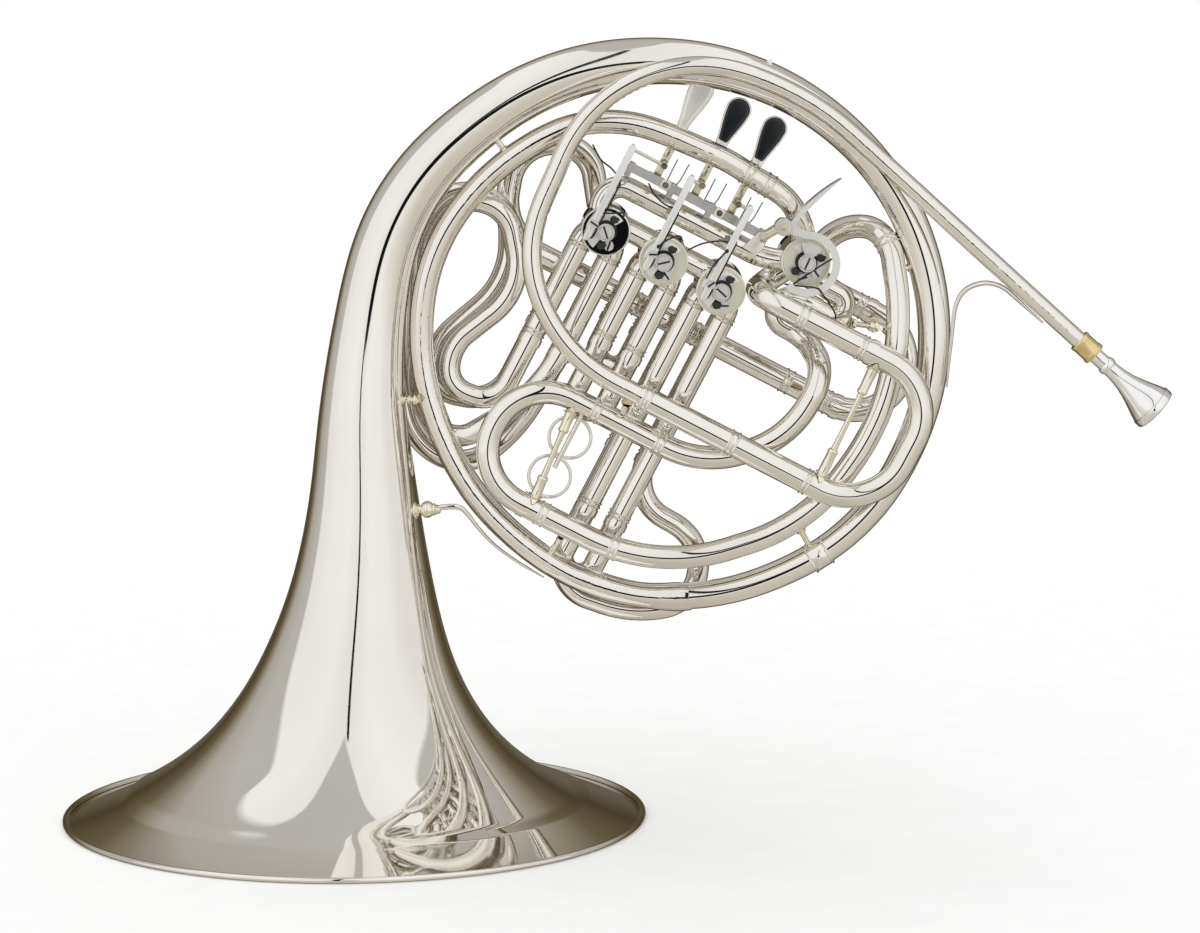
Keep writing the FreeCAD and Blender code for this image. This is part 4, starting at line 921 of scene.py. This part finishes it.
def bell_station(distance):
    """The bell line's point, direction and radius in mm at a distance in metres from the rim."""
    line = horn_line()
    k = round(distance / LINE_STEP)
    return line[k], (line[k + 1] - line[k - 1]).normalized(), horn_radius(distance) * 1000


def make_ferrules():
    """Rings on the fixed joints, and the wide band where the tail meets the outer branch."""
    shape = Shape()
    for points in islands(NODES["joint_ferrules"]):
        centre = (points.max(axis=0) + points.min(axis=0)) / 2
        local = points - points.mean(axis=0)
        values, vectors = np.linalg.eigh(local.T @ local)
        odd = 0 if values[1] - values[0] > values[2] - values[1] else 2
        axis = vectors[:, odd]
        reach = local @ axis
        outer = np.linalg.norm(local - np.outer(reach, axis), axis=1).max() * 1000
        if outer > WIDE_COLLAR:
            continue
        beaded(shape, Vector(centre), Vector(axis), outer - 0.6, 2.6)
    point, ahead, radius = bell_station(BAND_AT)
    beaded(shape, point, ahead, radius + 0.05, BAND_HALF)
    for along, up, depth, run, radius in JOINT_RINGS:
        beaded(shape, spot(along, up, depth), run, radius, 1.7)
    piece = shape.finish("joint_rings", SILVER, "horn", 50)
    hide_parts("joint_ferrules")


make_painted_gap_shade()
make_thumb_fittings()
make_ferrules()
make_valve_faces()
make_hub_rings()
make_link_bars()
make_paddles()
make_slot_shades()
make_springs()
make_rack_plates()
make_string_ends()


# -------- studio
def make_world():
    """What reflections see: two soft panels in front and overhead, a dark camera place, a brown back.

    Only glossy rays see it. Every other ray sees plain white.
    """
    world = bpy.data.worlds.new("studio")
    world.use_nodes = True
    bpy.context.scene.world = world
    nodes = Nodes(world.node_tree)

    def sums(kind, first, second=None):
        values = {0: first} if second is None else {0: first, 1: second}
        return nodes.add("ShaderNodeMath", values, operation=kind).outputs[0]

    def between(value, low, high, start=0.0, end=1.0):
        return nodes.add("ShaderNodeMapRange", {"Value": value, "From Min": low, "From Max": high,
                                                "To Min": start, "To Max": end}).outputs[0]

    def tinted(value, colour):
        return nodes.add("ShaderNodeVectorMath", {0: colour, "Scale": value}, operation="SCALE").outputs[0]

    way = nodes.add("ShaderNodeTexCoord").outputs["Generated"]
    parts = nodes.add("ShaderNodeSeparateXYZ", {"Vector": way})
    x, y, z = parts.outputs["X"], parts.outputs["Y"], parts.outputs["Z"]
    # how far back each panel reaches, by its distance from the gap between them
    gap_at = 0.07
    reach = nodes.add("ShaderNodeFloatCurve", {"Value": sums("ABSOLUTE", sums("ADD", x, gap_at))})
    curve = reach.mapping.curves[0]
    curve.points[0].location, curve.points[1].location = (0.0, 0.25), (1.0, 0.53)
    for across, back in ((0.10, 0.40), (0.16, 0.64), (0.22, 0.695), (0.40, 0.67), (0.48, 0.53)):
        curve.points.new(across, back)
    reach.mapping.update()
    edge = sums("SUBTRACT", between(reach.outputs[0], 0.0, 1.0, -1.0, 1.0), y)
    panel = between(edge, -0.03, 0.03)
    glow = ramp(nodes, sums("ABSOLUTE", sums("ADD", x, gap_at)),
                [(0.0, (0.83, 0.83, 0.82)), (0.35, (0.93, 0.93, 0.92)), (0.8, (0.90, 0.895, 0.88)),
                 (1.0, (0.80, 0.79, 0.77))])
    low = ramp(nodes, between(z, -1.0, 1.0),
               [(0.0, (0.60, 0.56, 0.48)), (0.30, (0.70, 0.67, 0.60)), (0.42, (0.90, 0.88, 0.84)),
                (0.46, (1, 1, 1))])
    front = nodes.add("ShaderNodeVectorMath", {0: glow, 1: low}, operation="MULTIPLY").outputs[0]
    behind = sums("SUBTRACT", y, sums("MULTIPLY", sums("MAXIMUM", z, 0.0), 0.38))
    back = ramp(nodes, between(behind, -1.0, 1.0),
                [(0.0, (0.52, 0.51, 0.49)), (0.55, (0.50, 0.49, 0.47)), (0.72, (0.42, 0.40, 0.365)),
                 (0.79, (0.27, 0.24, 0.185)), (0.85, (0.135, 0.108, 0.062)), (0.93, (0.07, 0.052, 0.026)),
                 (0.99, (0.13, 0.11, 0.075))])
    # a dark oval in one fixed direction, the camera's place, and a gap above it; angles in radians
    oval_left, oval_down, oval_wide, oval_tall = 0.02, 0.075, 0.115, 0.13
    turn = sums("ARCTAN2", x, sums("MULTIPLY", y, -1.0))
    lift = sums("ARCSINE", z)
    wide = sums("DIVIDE", sums("ADD", turn, oval_left), oval_wide)
    tall = sums("DIVIDE", sums("ADD", lift, oval_down), oval_tall)
    oval = sums("SQRT", sums("ADD", sums("MULTIPLY", wide, wide), sums("MULTIPLY", tall, tall)))
    person = between(oval, 0.93, 1.07)
    off = sums("ABSOLUTE", sums("ADD", turn, 0.066))
    slit = sums("MAXIMUM", between(off, 0.022, 0.03), between(lift, 0.02, 0.0))
    dark = sums("MULTIPLY", person, sums("MAXIMUM", slit, between(lift, 1.05, 1.1)))
    front = tinted(between(dark, 0.0, 1.0, 0.008, 1.0), front)
    rest = tinted(sums("SUBTRACT", 1.0, panel), back)
    whole = nodes.add("ShaderNodeVectorMath", {0: tinted(panel, front), 1: rest},
                      operation="ADD").outputs[0]
    shine = nodes.add("ShaderNodeBackground", {"Color": whole, "Strength": 1.0})
    white = nodes.add("ShaderNodeBackground", {"Color": (1, 1, 1, 1), "Strength": 1.0})
    path = nodes.add("ShaderNodeLightPath")
    final = nodes.add("ShaderNodeMixShader", {0: path.outputs["Is Glossy Ray"], 1: white.outputs[0],
                                              2: shine.outputs[0]})
    nodes.add("ShaderNodeOutputWorld", {"Surface": final.outputs[0]})


def make_floor():
    """A large pale sheet just under the rim, left out of reflections."""
    mesh = bpy.data.meshes.new("floor")
    side, near, far, drop = 6.0, -1.2, 30.0, 0.0002
    corners = [(-side, near, 0), (side, near, 0), (side, far, 0), (-side, far, 0)]
    mesh.from_pydata(corners, [], [(0, 1, 2, 3)])
    floor = bpy.data.objects.new("floor", mesh)
    floor.location.z = -drop
    floor.visible_glossy = False
    bpy.context.scene.collection.objects.link(floor)
    paper = plain("floor_paper", (0.90, 0.90, 0.895), (0.88, 0.88, 0.875), 0.9, 40.0, 0.01)
    paper.node_tree.nodes["Principled BSDF"].inputs["Specular IOR Level"].default_value = 0.0
    mesh.materials.append(paper)


def make_top_light():
    """One weak, very soft light from above, left out of reflections."""
    sun = bpy.data.lights.new("top_light", "SUN")
    sun.energy, sun.angle = 0.45, math.radians(70)
    lamp = bpy.data.objects.new("top_light", sun)
    lamp.rotation_euler = (math.radians(-18), math.radians(-12), 0)
    lamp.visible_glossy = False
    bpy.context.scene.collection.objects.link(lamp)


make_world()
make_floor()
make_top_light()
bpy.context.scene.view_settings.view_transform = "Standard"
